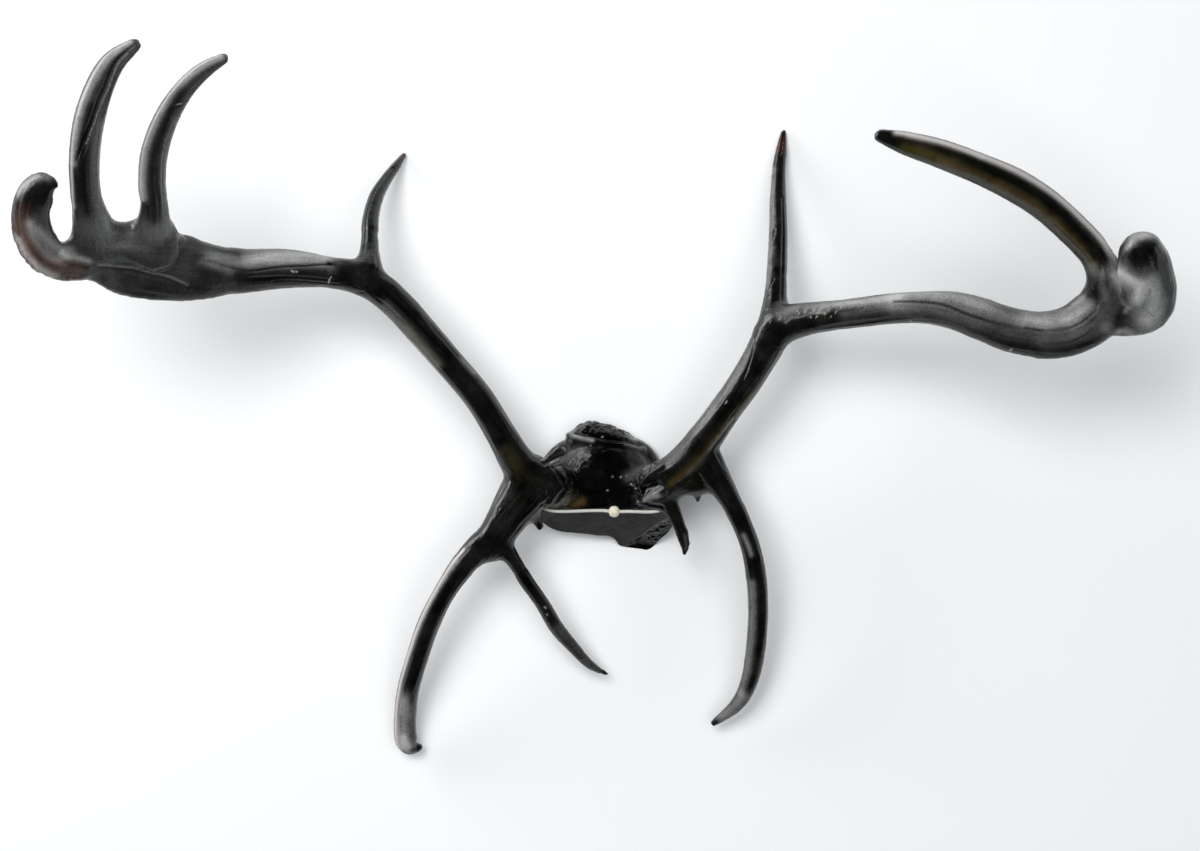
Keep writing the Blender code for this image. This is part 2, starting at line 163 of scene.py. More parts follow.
branches = {
    "left_lower_beam": {
        "route": [(-22, -1, 26, 34, 32), (-40, 3, 42, 35, 34), (-54, 7, 54, 46, 42), (-75, 19, 64, 40, 38),
            (-88, 30, 69, 35, 35), (-106, 61, 78, 29, 29), (-127, 95, 84, 28, 28), (-155, 129, 88, 28, 28),
            (-182, 160, 92, 29, 29), (-207, 188, 95, 30, 30), (-228, 206, 98, 33, 31),
            (-250, 215, 102, 33, 30)],
        "saw": (1.35, 44), "inside": 6},
    "left_upper_beam": {
        "route": [(-228, 206, 98, 33, 30), (-250, 215, 102, 33, 29), (-273, 218, 108, 31, 28),
            (-294, 220, 118, 34, 27), (-316, 220, 131, 38, 27), (-343, 217, 148, 41, 27),
            (-365, 216, 163, 47, 26), (-385, 215, 180, 58, 25)],
        "saw": (1.8, 25), "inside": 4},
    "left_palm": {
        "route": [(-365, 216, 163, 47, 26), (-385, 215, 180, 58, 25), (-410, 217, 200, 66, 23),
            (-435, 220, 218, 69, 22), (-459, 224, 236, 63, 21), (-476, 223, 250, 49, 20),
            (-488, 220, 262, 37, 18)],
        "saw": (1.35, 40), "inside": 3},
    "left_rear_tine": {
        "route": [(-236, 218, 99, 34, 30), (-235, 239, 87, 21, 19), (-236, 259, 75, 18, 16),
            (-236, 278, 61, 16, 16), (-232, 300, 44, 14, 14), (-223, 320, 26, 11, 11), (-215, 334, 13, 9, 9),
            (-208, 347, 2, 5, 5)],
        "saw": (1.35, 15), "inside": 4},
    "left_inner_top_tine": {
        "route": [(-424, 232, 218, 70, 20), (-420, 250, 234, 42, 20), (-417, 270, 245, 28, 20),
            (-417, 292, 256, 26, 21), (-412, 318, 268, 25, 20), (-399, 346, 280, 22, 18),
            (-383, 369, 288, 18, 16), (-364, 386, 294, 15, 14), (-344, 397, 298, 10, 9)],
        "up": palmLean, "saw": (1.6, 25), "inside": 4},
    "left_outer_top_tine": {
        "route": [(-469, 228, 250, 66, 20), (-470, 250, 262, 43, 20), (-473, 276, 274, 29, 21),
            (-471, 306, 290, 28, 22), (-464, 340, 302, 28, 22), (-453, 368, 311, 25, 21),
            (-439, 390, 318, 21, 18), (-419, 405, 323, 12, 11)],
        "up": palmLean, "saw": (1.5, 25), "inside": 4},
    "left_web": {
        "route": [(-472, 239, 255, 58, 19), (-448, 238, 239, 36, 19), (-423, 239, 227, 58, 19)],
        "up": palmLean},
    "left_end_tine": {
        "route": [(-478, 220, 256, 39, 19), (-494, 216, 268, 37, 19), (-507, 223, 284, 38, 20),
            (-514, 240, 302, 37, 20), (-512, 259, 318, 35, 19), (-503, 274, 328, 33, 20),
            (-493, 280, 334, 22, 14), (-484, 279, 338, 5, 4)],
        "saw": (1.25, 25), "inside": 4},
    "left_bez_stem": {
        "route": [(-76, 10, 64, 54, 40), (-91, -13, 67, 45, 36), (-104, -33, 68, 38, 31),
            (-116, -52, 68, 36, 30)],
        "saw": (1.6, 24), "inside": 2},
    "left_bez_outer_tine": {
        "route": [(-107, -41, 66, 32, 27), (-124, -53, 68, 31, 26), (-143, -72, 68, 25, 23),
            (-161, -98, 66, 22, 21), (-177, -129, 60, 22, 22), (-190, -165, 50, 22, 22),
            (-201, -202, 38, 22, 21), (-205, -234, 26, 22, 20), (-204, -256, 18, 22, 18),
            (-198, -263, 15, 14, 14), (-190, -262, 14, 6, 6)],
        "saw": (1.4, 21), "inside": 5},
    "left_bez_inner_tine": {
        "route": [(-115, -46, 67, 30, 27), (-102, -56, 67, 21, 21), (-92, -69, 65, 16, 16),
            (-80, -89, 60, 15, 15), (-65, -111, 53, 14, 14), (-50, -137, 44, 14, 14),
            (-34, -157, 35, 12, 12), (-17, -176, 26, 9, 9), (1, -187, 17, 4, 4)],
        "saw": (1.45, 13), "inside": 4},
    "left_brow_nub": {
        "route": [(-78, -7, 64, 26, 24), (-72, -22, 61, 16, 16), (-67, -34, 58, 8, 8)]},
    "right_lower_beam": {
        "route": [(18, -4, 26, 34, 32), (34, -1, 41, 35, 34), (50, 5, 54, 44, 40), (75, 25, 66, 37, 36),
            (96, 51, 75, 34, 34), (117, 81, 80, 30, 30), (139, 112, 86, 31, 31), (156, 141, 91, 34, 32),
            (169, 164, 95, 38, 34), (190, 171, 101, 35, 31)],
        "saw": (1.35, 53), "inside": 5},
    "right_upper_beam": {
        "route": [(169, 164, 95, 38, 34), (190, 171, 101, 35, 31), (221, 175, 112, 29, 28),
            (249, 178, 122, 29, 27), (277, 181, 131, 29, 26), (305, 182, 140, 31, 26),
            (333, 179, 148, 36, 28), (360, 170, 156, 40, 28), (388, 159, 163, 44, 27),
            (416, 154, 168, 45, 27)],
        "saw": (1.4, 24), "inside": 4},
    "right_palm": {
        "route": [(388, 159, 163, 44, 27), (416, 154, 168, 45, 27), (443, 158, 173, 48, 26),
            (465, 173, 179, 51, 26), (475, 193, 185, 46, 25), (475, 210, 192, 38, 25)],
        "saw": (0.5, 32), "inside": 3},
    "right_rear_tine": {
        "route": [(167, 168, 94, 36, 30), (168, 191, 83, 25, 24), (170, 210, 73, 22, 22),
            (172, 233, 60, 20, 20), (174, 264, 44, 19, 19), (175, 296, 29, 17, 17), (177, 328, 15, 14, 14),
            (180, 350, 7, 11, 11), (183, 370, 2, 6, 5)],
        "saw": (1.65, 17), "inside": 4},
    "right_top_tine": {
        "route": [(475, 191, 184, 46, 27), (469, 213, 195, 35, 25), (455, 233, 206, 31, 24),
            (430, 255, 220, 31, 24), (404, 274, 233, 31, 24), (374, 290, 244, 31, 24),
            (340, 304, 254, 28, 23), (305, 316, 262, 26, 22), (272, 325, 268, 21, 18),
            (249, 331, 271, 12, 11)],
        "saw": (1.5, 23), "inside": 5},
    "right_end_tine": {
        "route": [(474, 178, 180, 50, 26), (492, 175, 186, 46, 27), (509, 180, 195, 50, 30),
            (510, 193, 206, 52, 33), (505, 205, 216, 52, 35), (499, 217, 226, 51, 36),
            (494, 227, 236, 43, 33)],
        "sawPlane": ((491, 190, 200), (1, -0.05, 0.28), 71), "inside": 4},
    "right_web": {
        "route": [(59, 5, 59, 34, 25), (77, 14, 64, 34, 21), (97, 16, 68, 34, 20), (111, 16, 71, 28, 20)]},
    "right_web_nub": {
        "route": [(91, 8, 66, 22, 15), (92, -2, 62, 11, 9), (92, -11, 60, 4, 4)]},
    "right_bez_tine": {
        "route": [(99, 32, 72, 36, 29), (108, 18, 72, 30, 26), (119, 1, 73, 24, 24), (132, -23, 72, 20, 20),
            (144, -53, 70, 19, 19), (151, -88, 64, 20, 20), (153, -124, 55, 20, 20), (151, -160, 45, 19, 19),
            (145, -193, 36, 17, 17), (133, -217, 28, 14, 14), (110, -237, 18, 7, 7)],
        "saw": (2.0, 18), "inside": 5},
    "right_brow_tine": {
        "route": [(57, -3, 57, 26, 24), (66, -17, 59, 18, 16), (72, -30, 63, 15, 12), (77, -44, 67, 12, 9),
            (79, -54, 69, 9, 7), (78, -61, 70, 4, 4)],
        "saw": (1.1, 14), "inside": 3},
}

skullCap = {
    "domeWidth": 102.0, "domeLength": 106.0, "domeHeight": 59.0, "domeCentre": (-2.0, 13.0),
    "faceTop": (-15.5, 54.0), "faceFoot": (-60.0, -2.0),     # y and z on the sawn front face
    "faceProud": 2.5,
    "browEdge": [(-60, -8), (-67, -24), (-64, -31), (-56, -37), (-48, -40), (-27, -42), (-5, -45), (4, -45),
                 (10, -49), (13, -55), (18, -57), (43, -60), (47, -58), (53, -51), (62, -43), (68, -34),
                 (68, -28), (60, -8)],
    "browHeight": 53.0,
    "nape": [(-34, 47, 12, 22, 40), (-25, 52, 16, 28, 48), (-10, 55, 18, 28, 52), (6, 53, 17, 26, 48),
             (20, 47, 13, 20, 40), (34, 40, 9, 16, 34)],
    "napeKnob": [(-25, 60, 16, 18, 34), (-12, 63, 19, 15, 36), (2, 58, 17, 15, 34)],
    "leftTemple": [(-26, 46, 8, 26, 38), (-44, 37, 6, 26, 36), (-56, 26, 3, 22, 32), (-61, 12, 1, 18, 30)],
    "rightTemple": [(26, 44, 8, 24, 36), (38, 36, 6, 24, 34), (47, 26, 2, 20, 30), (52, 14, 0, 18, 30)],
}

fusing = {"voxel": 2.2, "ringGap": 4.0, "ringPoints": 28, "crotchReach": 34.0, "crotchPasses": 18,
          "evenPasses": 3, "rightEndBend": (482, 200, 195)}       # a crotch that no saw marks


def catmullRom(rows, t):
    last = len(rows) - 1
    i = min(int(t), last - 1)
    u = t - i
    before, start, end, after = (rows[max(0, min(last, i + k))] for k in (-1, 0, 1, 2))
    return [0.5 * (2 * b + (c - a) * u + (2 * a - 5 * b + 4 * c - d) * u * u
                   + (3 * b - a - 3 * c + d) * u ** 3)
            for a, b, c, d in zip(before, start, end, after)]


def routeFrame(rows, t, up=level):      # X across the width, Y down through the depth, Z along
    here = Vector(catmullRom(rows, t)[:3])
    ahead = Vector(catmullRom(rows, min(t + 0.05, len(rows) - 1))[:3])
    behind = Vector(catmullRom(rows, max(t - 0.05, 0))[:3])
    along = (ahead - behind).normalized()
    across = along.cross(Vector(up)).normalized()
    through = along.cross(across)
    return Matrix.Translation(here * mm) @ Matrix((across, through, along)).transposed().to_4x4()


def ringTimes(rows, gap):
    times = []
    for i in range(len(rows) - 1):
        run = (Vector(rows[i + 1][:3]) - Vector(rows[i][:3])).length
        count = max(1, round(run / gap))
        times += [i + k / count for k in range(count)]
    return times + [len(rows) - 1]


def growRing(bm, edges, move):       # a new ring grown from the last one, then moved
    grown = bmesh.ops.extrude_edge_only(bm, edges=edges)["geom"]
    verts = {item for item in grown if isinstance(item, bmesh.types.BMVert)}
    bmesh.ops.transform(bm, matrix=move, verts=list(verts))
    return [item for item in grown if isinstance(item, bmesh.types.BMEdge)
            and item.verts[0] in verts and item.verts[1] in verts]


def loftBranch(bm, rows, up=level):
    rings = []
    for t in ringTimes(rows, fusing["ringGap"]):
        width, depth = catmullRom(rows, t)[3:5]
        rings.append(routeFrame(rows, t, up) @ Matrix.Diagonal((width * mm / 2, depth * mm / 2, 1, 1)))
    tip, reach = rings[-1], rows[-1][3] * mm / 2
    for share in (0.5, 0.85):       # the rounded end
        shrink = math.sqrt(1 - share * share)
        narrow = Matrix.Diagonal((shrink, shrink, 1, 1))
        rings.append(tip @ Matrix.Translation((0, 0, reach * share)) @ narrow)
    made = bmesh.ops.create_circle(bm, cap_ends=True, segments=fusing["ringPoints"], radius=1.0,
                                   matrix=rings[0])
    edges = list({edge for vert in made["verts"] for edge in vert.link_edges})
    for before, after in zip(rings, rings[1:]):
        edges = growRing(bm, edges, after @ before.inverted())
    bmesh.ops.contextual_create(bm, geom=edges)


def sawFlat(bm, point, normal):
    geom = bm.verts[:] + bm.edges[:] + bm.faces[:]
    bmesh.ops.bisect_plane(bm, geom=geom, dist=1e-7, plane_co=point, plane_no=normal, clear_outer=True)
    bmesh.ops.holes_fill(bm, edges=[edge for edge in bm.edges if edge.is_boundary], sides=0)


def facePlane(proud=0.0):
    top, foot = skullCap["faceTop"], skullCap["faceFoot"]
    fall = Vector((0, foot[0] - top[0], foot[1] - top[1]))
    outward = fall.cross(Vector((1, 0, 0))).normalized()
    return Vector((0, top[0] * mm, top[1] * mm)) + outward * proud * mm, outward


def raiseBrow(bm):       # the block behind the sawn face, with its chipped lower edge
    verts = [bm.verts.new((x * mm, y * mm, -0.01)) for x, y in skullCap["browEdge"]]
    base = bm.faces.new(verts)
    grown = bmesh.ops.extrude_face_region(bm, geom=[base])["geom"]
    top = [item for item in grown if isinstance(item, bmesh.types.BMVert)]
    bmesh.ops.translate(bm, vec=(0, 0, skullCap["browHeight"] * mm + 0.01), verts=top)


def loftSkull(bm):
    centre = skullCap["domeCentre"]
    size = Matrix.Diagonal((skullCap["domeWidth"] * mm / 2, skullCap["domeLength"] * mm / 2,
                            skullCap["domeHeight"] * mm, 1))
    bmesh.ops.create_uvsphere(bm, u_segments=64, v_segments=40, radius=1.0,
                              matrix=Matrix.Translation((centre[0] * mm, centre[1] * mm, 0)) @ size)
    raiseBrow(bm)
    for part in ("nape", "napeKnob", "leftTemple", "rightTemple"):
        loftBranch(bm, skullCap[part])
    bmesh.ops.recalc_face_normals(bm, faces=bm.faces)
    point, outward = facePlane(skullCap["faceProud"])
    sawFlat(bm, point, outward)
    sawFlat(bm, (0, 0, -0.012), (0, 0, -1))


def applyModifiers(item):
    bpy.context.view_layer.update()
    mesh = bpy.data.meshes.new_from_object(item.evaluated_get(bpy.context.evaluated_depsgraph_get()))
    item.modifiers.clear()
    item.data = mesh


def fuseBone():
    bm = bmesh.new()
    loftSkull(bm)
    for branch in branches.values():
        loftBranch(bm, branch["route"], branch.get("up", level))
    bmesh.ops.recalc_face_normals(bm, faces=bm.faces)
    bone = linkObject("bone", meshFrom(bm, "bone"))
    grid = bone.modifiers.new("fuse", "REMESH")
    grid.mode = "VOXEL"
    grid.voxel_size = fusing["voxel"] * mm
    applyModifiers(bone)
    return bone


def smoothVerts(bm, verts, passes):
    for _ in range(passes):
        bmesh.ops.smooth_vert(bm, verts=verts, factor=0.5, use_axis_x=True, use_axis_y=True, use_axis_z=True)


def softenCrotches(bone):
    bm = bmesh.new()
    bm.from_mesh(bone.data)
    centres = [Vector(catmullRom(b["route"], max(0, b["saw"][0] - 0.6))[:3]) * mm
               for b in branches.values() if "saw" in b]
    centres.append(Vector(fusing["rightEndBend"]) * mm)
    reach = fusing["crotchReach"] * mm
    near = [v for v in bm.verts if any((v.co - c).length_squared < reach * reach for c in centres)]
    smoothVerts(bm, near, fusing["crotchPasses"])
    smoothVerts(bm, bm.verts, fusing["evenPasses"])
    bm.to_mesh(bone.data)
    bm.free()


def refine(bone):
    finer = bone.modifiers.new("finer", "SUBSURF")
    finer.levels = finer.render_levels = 1
    applyModifiers(bone)


bone = fuseBone()
print("fused", len(bone.data.vertices), "points")
softenCrotches(bone)
refine(bone)
print("refined to", len(bone.data.vertices), "points")


# Every point of the bone learns where it lies on the nearest branches

def valueNoise(points, seed):       # smooth noise from -1 to 1, the same each run
    cell = np.floor(points).astype(np.int64)
    part = points - cell
    part = part * part * (3 - 2 * part)
    total = np.zeros(len(points))
    for dx in (0, 1):
        for dy in (0, 1):
            for dz in (0, 1):
                h = (cell[:, 0] + dx) * 374761393 + (cell[:, 1] + dy) * 668265263 \
                    + (cell[:, 2] + dz) * 1274126177 + seed * 974634777
                h = (h ^ (h >> 13)) * 1274126177 & 0xffffffff
                h = (h ^ (h >> 16)) & 0xffff
                weight = (part[:, 0] if dx else 1 - part[:, 0]) * (part[:, 1] if dy else 1 - part[:, 1]) \
                    * (part[:, 2] if dz else 1 - part[:, 2])
                total += weight * (h / 32767.5 - 1)
    return total


def layeredNoise(points, seed, layers=3):
    total, size, scale = 0, 1.0, 1.0
    for k in range(layers):
        total = total + size * valueNoise(points * scale, seed + 17 * k)
        size, scale = size * 0.5, scale * 2.03
    return total


def sampleBranch(branch):
    rows, up = branch["route"], branch.get("up", level)
    times = np.linspace(0, len(rows) - 1, 12 * len(rows))
    frames = [np.array(routeFrame(rows, t, up)) for t in times]
    sizes = np.array([catmullRom(rows, t)[3:5] for t in times]) * mm / 2
    places = np.array([f[:3, 3] for f in frames])
    run = np.concatenate([[0], np.cumsum(np.linalg.norm(np.diff(places, axis=0), axis=1))])
    return {"times": times, "places": places, "sizes": sizes, "run": run,
            "across": np.array([f[:3, 0] for f in frames]), "through": np.array([f[:3, 1] for f in frames]),
            "along": np.array([f[:3, 2] for f in frames])}


def locate(points, sampled):
    best = np.empty(len(points), dtype=np.int64)
    for start in range(0, len(points), 20000):
        block = points[start:start + 20000]
        gaps = ((block[:, None, :] - sampled["places"][None]) ** 2).sum(2)
        best[start:start + 20000] = gaps.argmin(1)
    offset = points - sampled["places"][best]
    u = (offset * sampled["across"][best]).sum(1)
    v = -(offset * sampled["through"][best]).sum(1)
    w = (offset * sampled["along"][best]).sum(1)
    half = sampled["sizes"][best]
    rho = np.sqrt((u / half[:, 0]) ** 2 + (v / half[:, 1]) ** 2 + (w / half.mean(1)) ** 2 * 0.25)
    return {"run": sampled["run"][best] + w, "turn": np.arctan2(v, u), "rho": rho, "radius": half.mean(1)}


graining = {
    "fullness": 0.55,                            # a little skin over the fused shape, mm
    "swell": 0.5, "swellLength": 55.0,           # slow lumps along a branch
    "flute": 0.5, "fluteLength": 80.0, "fluteWidth": 5.0,
    "pitting": 0.16, "pittingSize": 2.6,
    "roughSize": 4.5, "roughDepth": 1.5,
}

# Marks on a branch, by kind: width in mm, strength, and the line through (station, turn). A turn of 90 is
# the top, 0 the right-hand side on the way to the tip, 180 the left. Grooves and ridges are in mm.
# Some kinds stand for light. The pale lines along rims are painted highlights and glints, the grey frost is
# dust together with painted sheen, the dark marks are painted shade, and grooves are painted darker as shade.
branchMarks = {
    "left_lower_beam": {
        "groove": [(1.6, 1.5, [(11, 100), (10, 92), (9, 88), (8, 80), (7.1, 74)]),
            (1.3, 0.7, [(10.8, 130), (9.4, 124), (8.4, 118)]),
            (1.2, 0.9, [(3.45, 108), (3.2, 120), (3.0, 112)]),
            (1.3, 1.0, [(2.5, 60), (2.9, 80), (3.2, 88)])],
        "ridge": [(2.2, 0.8, [(10.6, 112), (9, 106), (8, 98), (7.2, 92)])],
        "dust_and_sheen": [(5.0, 0.22, [(9.2, 128), (8.2, 128), (7.2, 130)]), (2.5, 0.4, [(6.9, 35), (6.5, 32)])],
        "olive": [(4.5, 0.9, [(8.4, 128), (7.9, 128), (7.2, 132)]), (7.0, 0.35, [(4.6, 95), (3.6, 105)])],
        "rough": [(6.0, 0.9, [(1.6, 60), (1.7, 110), (1.6, 160)]), (3.0, 0.5, [(4.3, 170), (3.4, 172)])]},
    "left_upper_beam": {
        "dust_and_sheen": [(9.0, 1.0, [(2.2, 38), (3, 42), (4, 48), (5, 52), (6, 52), (6.7, 42)])],
        "groove": [(1.7, 1.3, [(2.1, 58), (3.2, 78), (4.4, 90), (5.3, 96), (6.2, 80), (7, 56)]),
            (3.0, 1.1, [(1.85, 56), (2.15, 56)]), (1.2, 0.6, [(1.6, 120), (3, 125), (4.5, 126), (6, 122)]),
            (1.0, 0.4, [(1.6, 138), (3, 140), (4.5, 140)])],
        "ridge": [(2.0, 0.7, [(2.4, 78), (3.2, 92), (4.4, 104), (5.3, 110)])],
        "dark": [(3.4, 1.0, [(1.85, 56), (2.15, 56)]), (3.0, 0.8, [(2.3, 92), (2.9, 100), (3.5, 106)])],
        "chalk": [(0.56, 0.68, [(2.02, 112), (2.06, 128), (2.03, 138)]),
            (0.64, 0.75, [(3.85, 102), (3.75, 108)]), (0.56, 0.68, [(3.68, 104), (3.6, 107)])]},
    "left_palm": {
        "dust_and_sheen": [(26.0, 0.08, [(1.0, 90), (5, 90)]), (5.0, 0.38, [(1.2, 60), (0.6, 84), (0.2, 100)]),
            (5.0, 0.55, [(5.6, 58), (6.3, 80), (6, 104)])],
        "groove": [(1.2, 0.5, [(4.2, 110), (3.0, 118), (2.0, 128)])]},
    "left_rear_tine": {
        "painted_highlight": [(1.3, 0.45, [(1.0, 172), (3, 166), (5, 162), (7, 160)])],
        "groove": [(1.2, 0.7, [(0.8, 120), (2, 116), (4, 110), (5.5, 105)])],
        "dark": [(4.0, 0.8, [(0.8, 100), (3, 95), (5, 95)])],
        "tan": [(6.0, 0.9, [(6.6, 90), (8, 90)])],
        "dust_and_sheen": [(2.0, 0.4, [(5.2, 150), (7, 150)])]},
    "left_inner_top_tine": {
        "dust_and_sheen": [(20.0, 0.09, [(0, 60), (4, 50), (8, 60)]),
            (3.0, 0.55, [(2.5, 158), (4.5, 152), (6.5, 140), (8, 120)]),
            (7.0, 0.25, [(1, 35), (3, 32), (5, 40)])],
        "painted_highlight": [(1.6, 0.55, [(2.4, 170), (4.5, 166), (6.5, 160), (8, 150)])],
        "ridge": [(2.2, 0.8, [(1.2, 80), (3, 78), (5, 82)])],
        "dark": [(6.0, 0.9, [(1.6, 112), (3.5, 108), (6, 105)])],
        "groove": [(0.9, 1.0, [(5.65, 70), (5.55, 95), (5.35, 120)]), (1.2, 0.8, [(2.2, 150), (1.6, 140)])],
        "chalk": [(0.48, 0.45, [(5.7, 72), (5.6, 95)])]},
    "left_outer_top_tine": {
        "dust_and_sheen": [(20.0, 0.09, [(0, 60), (4, 50), (7, 60)]), (3.0, 0.55, [(3, 160), (5, 150), (7, 128)]),
            (6.0, 0.28, [(1, 38), (2.5, 36), (4, 40)])],
        "painted_highlight": [(1.6, 0.55, [(1.8, 172), (3, 170), (5, 164), (7, 150)])],
        "ridge": [(1.6, 1.1, [(7.3, 84), (5.2, 72), (4.1, 88), (3.5, 112), (3.1, 132)])],
        "groove": [(1.7, 1.2, [(7.2, 104), (5.2, 92), (4.1, 106), (3.5, 130), (3.1, 148)])],
        "chalk": [(0.56, 0.26, [(6.6, 80), (5.2, 72), (4.1, 88), (3.5, 112)])],
        "dark": [(5.0, 0.9, [(1.6, 124), (3, 122), (4.5, 112)])],
        "olive": [(5.0, 0.55, [(1.6, 62), (3, 60), (4.2, 62)])]},
    "left_end_tine": {
        "tan": [(15.0, 1.0, [(0.9, 120), (1.6, 105), (2.5, 98), (3.5, 110)])],
        "painted_highlight": [(4.0, 0.55, [(1.4, 158), (2.2, 150), (3, 150)])],
        "dust_and_sheen": [(6.0, 0.30, [(1.5, 75), (2.6, 80), (3.6, 84)]),
            (4.0, 0.7, [(4.6, 150), (5.4, 140), (6.2, 130)]),
            (3.2, 0.9, [(0.1, 110), (0.6, 78), (1.1, 58), (1.7, 40)])],
        "ridge": [(2.6, 1.4, [(0.0, 120), (0.6, 80), (1.1, 60), (1.7, 40)])],
        "groove": [(2.2, 1.0, [(0.3, 140), (0.9, 105), (1.3, 84)])],
        "rough": [(8.0, 0.9, [(0.8, 160), (2, 160), (3, 165)])],
        "dark": [(9.0, 1.0, [(4.6, 90), (5.6, 90), (7, 90)])],
        "gloss": [(12.0, 1.0, [(4, 110), (6, 100)])]},
    "left_bez_stem": {
        "groove": [(1.3, 0.7, [(1, 70), (2, 60), (3, 66)])],
        "gloss": [(10.0, 0.6, [(0.5, 90), (3, 90)])]},
    "left_bez_outer_tine": {
        "dust_and_sheen": [(9.0, 0.62, [(6.2, 86), (7, 84), (7.9, 84)]), (5.0, 1.0, [(7.6, 84), (8.4, 84)]),
            (3.2, 0.7, [(2.0, 46), (4, 42), (6, 40), (8, 40)])],
        "painted_highlight": [(2.2, 0.8, [(1.6, 38), (3, 36), (5, 36), (8, 34)])],
        "dark": [(5.0, 1.0, [(4.2, 130), (5.4, 128), (6.2, 132)]), (5.0, 1.0, [(8.9, 90), (10, 90)])],
        "groove": [(1.4, 0.8, [(5, 60), (6.5, 52), (8, 46)]), (1.0, 0.5, [(2, 100), (3.5, 105), (5, 100)])]},
    "left_bez_inner_tine": {
        "dust_and_sheen": [(7.0, 0.12, [(5, 95), (6.2, 95), (7.4, 92)])],
        "chalk": [(0.64, 0.41, [(4.1, 95), (4.16, 100)]), (0.56, 0.38, [(4.35, 80), (4.4, 82)])],
        "groove": [(1.0, 0.6, [(1.5, 80), (4, 84), (6.5, 84)])],
        "dark": [(5.0, 0.9, [(7.7, 90), (8, 90)])]},
    "left_web": {
        "dust_and_sheen": [(5.0, 0.15, [(0.4, 60), (1.6, 60)])]},
    "left_brow_nub": {
        "gloss": [(8.0, 0.8, [(0, 90), (2, 90)])]},
    "right_lower_beam": {
        "olive": [(4.6, 1.0, [(2.7, 76), (3.4, 68), (4.2, 62), (5, 48), (5.8, 38)]),
            (3.0, 0.8, [(5.8, 16), (7, 14)])],
        "tan": [(3.0, 0.35, [(2.8, 74), (3.5, 66), (4.2, 58)])],
        "dust_and_sheen": [(2.6, 0.18, [(3.2, 60), (4.2, 54), (5, 42)]), (5.0, 0.22, [(3, 140), (5, 142), (7, 148)])],
        "ridge": [(3.0, 0.8, [(2.6, 92), (4, 82), (5.4, 66)])],
        "groove": [(2.6, 0.9, [(2.8, 62), (4, 50), (5, 36)]),
            (0.9, 1.0, [(7.3, 148), (6.7, 122), (6, 102), (5.4, 92)])],
        "chalk": [(0.56, 0.4, [(5.25, 106), (5.32, 107)])]},
    "right_upper_beam": {
        "crinkle": [(7.0, 1.2, [(0.55, 100), (1.3, 112), (2.1, 110)])],
        "dust_and_sheen": [(3.0, 0.25, [(0.6, 106), (1.3, 116), (2.0, 114)]),
            (5.0, 0.75, [(0.5, 128), (1.2, 140), (2.5, 138), (3.6, 138), (4.3, 142)]),
            (9.0, 0.18, [(2.6, 112), (4.4, 116)]),
            (9.0, 0.66, [(4.2, 148), (5.5, 142), (6.6, 132), (7.6, 132), (9, 138)]),
            (8.0, 0.16, [(4.2, 92), (6, 72), (7.5, 66), (9, 72)])],
        "gloss": [(6.0, 1.0, [(0.6, 104), (2.3, 112)])],
        "painted_highlight": [(1.1, 0.5, [(0.62, 96), (0.9, 104), (1.15, 100), (1.5, 108), (1.9, 104)])],
        "ridge": [(2.0, 1.0, [(2.5, 116), (2.9, 120)]), (1.8, 0.8, [(3.2, 124), (3.5, 116)]),
            (1.8, 0.7, [(4.4, 102), (5.7, 88), (6.6, 70), (7.4, 72), (8.5, 90), (9, 90)])],
        "groove": [(1.0, 0.9, [(0.8, 96), (1.5, 104), (2.3, 100), (3.2, 104)]),
            (1.5, 1.2, [(4.2, 118), (5.7, 102), (6.5, 84), (7.3, 86), (8.45, 106), (9, 106)]),
            (1.2, 0.7, [(8.0, 44), (9, 46)])],
        "dark": [(5.0, 0.9, [(5.6, 22), (7.2, 18), (9, 26)])],
        "chalk": [(0.72, 0.75, [(8.08, 8), (8.14, 20)]), (0.48, 0.52, [(4.6, 20), (4.7, 26)])]},
    "right_palm": {
        "groove": [(1.5, 1.1, [(0.5, 106), (1.6, 106), (2.4, 106), (3.1, 110), (3.7, 125), (4.5, 160)]),
            (1.3, 0.8, [(1.1, 50), (1.9, 50), (2.6, 58)])],
        "dust_and_sheen": [(9.0, 0.72, [(0.5, 136), (1.6, 140), (2.4, 136), (3.2, 142)]),
            (12.0, 0.20, [(1.2, 76), (2.6, 72), (4, 84)]), (6.0, 0.6, [(3.0, 34), (4, 26), (5, 22)])],
        "ridge": [(1.8, 0.7, [(0.5, 90), (1.6, 90), (2.4, 90), (3.1, 94), (3.7, 108)]),
            (1.4, 0.6, [(3.0, 118), (3.8, 100), (4.6, 92)])],
        "dark": [(5.0, 0.8, [(0.6, 28), (1.5, 24), (2.3, 26)])]},
    "right_rear_tine": {
        "dust_and_sheen": [(3.0, 0.35, [(1.5, 148), (4, 146), (6, 142)])],
        "dark": [(5.0, 0.7, [(1, 90), (4, 86), (6.5, 90)])],
        "groove": [(1.2, 0.8, [(0.8, 62), (3, 66), (5, 60)]), (1.0, 1.2, [(6.7, 92), (8, 86)]),
            (0.9, 0.9, [(1.6, 130), (1.9, 112)]), (0.9, 0.9, [(3.6, 130), (3.9, 118)])],
        "tan": [(6.0, 1.0, [(7.0, 90), (8, 90)])]},
    "right_top_tine": {
        "dust_and_sheen": [(3.6, 0.95, [(0.8, 46), (2.5, 40), (5, 38), (8, 40)]),
            (4.0, 0.07, [(1.4, 150), (4, 148), (7, 146)]),
            (5.0, 0.25, [(0.2, 110), (1.0, 122), (1.6, 138)])],
        "painted_highlight": [(2.8, 0.9, [(1.2, 36), (4, 40), (8.4, 42)])],
        "dark": [(6.0, 1.0, [(0.9, 84), (2.5, 82), (4.5, 84), (6.5, 86)])],
        "olive": [(6.0, 1.0, [(1.6, 138), (3.5, 134), (6, 132), (8, 126)])],
        "tan": [(3.0, 0.35, [(2.2, 132), (4.5, 130), (7, 130)])],
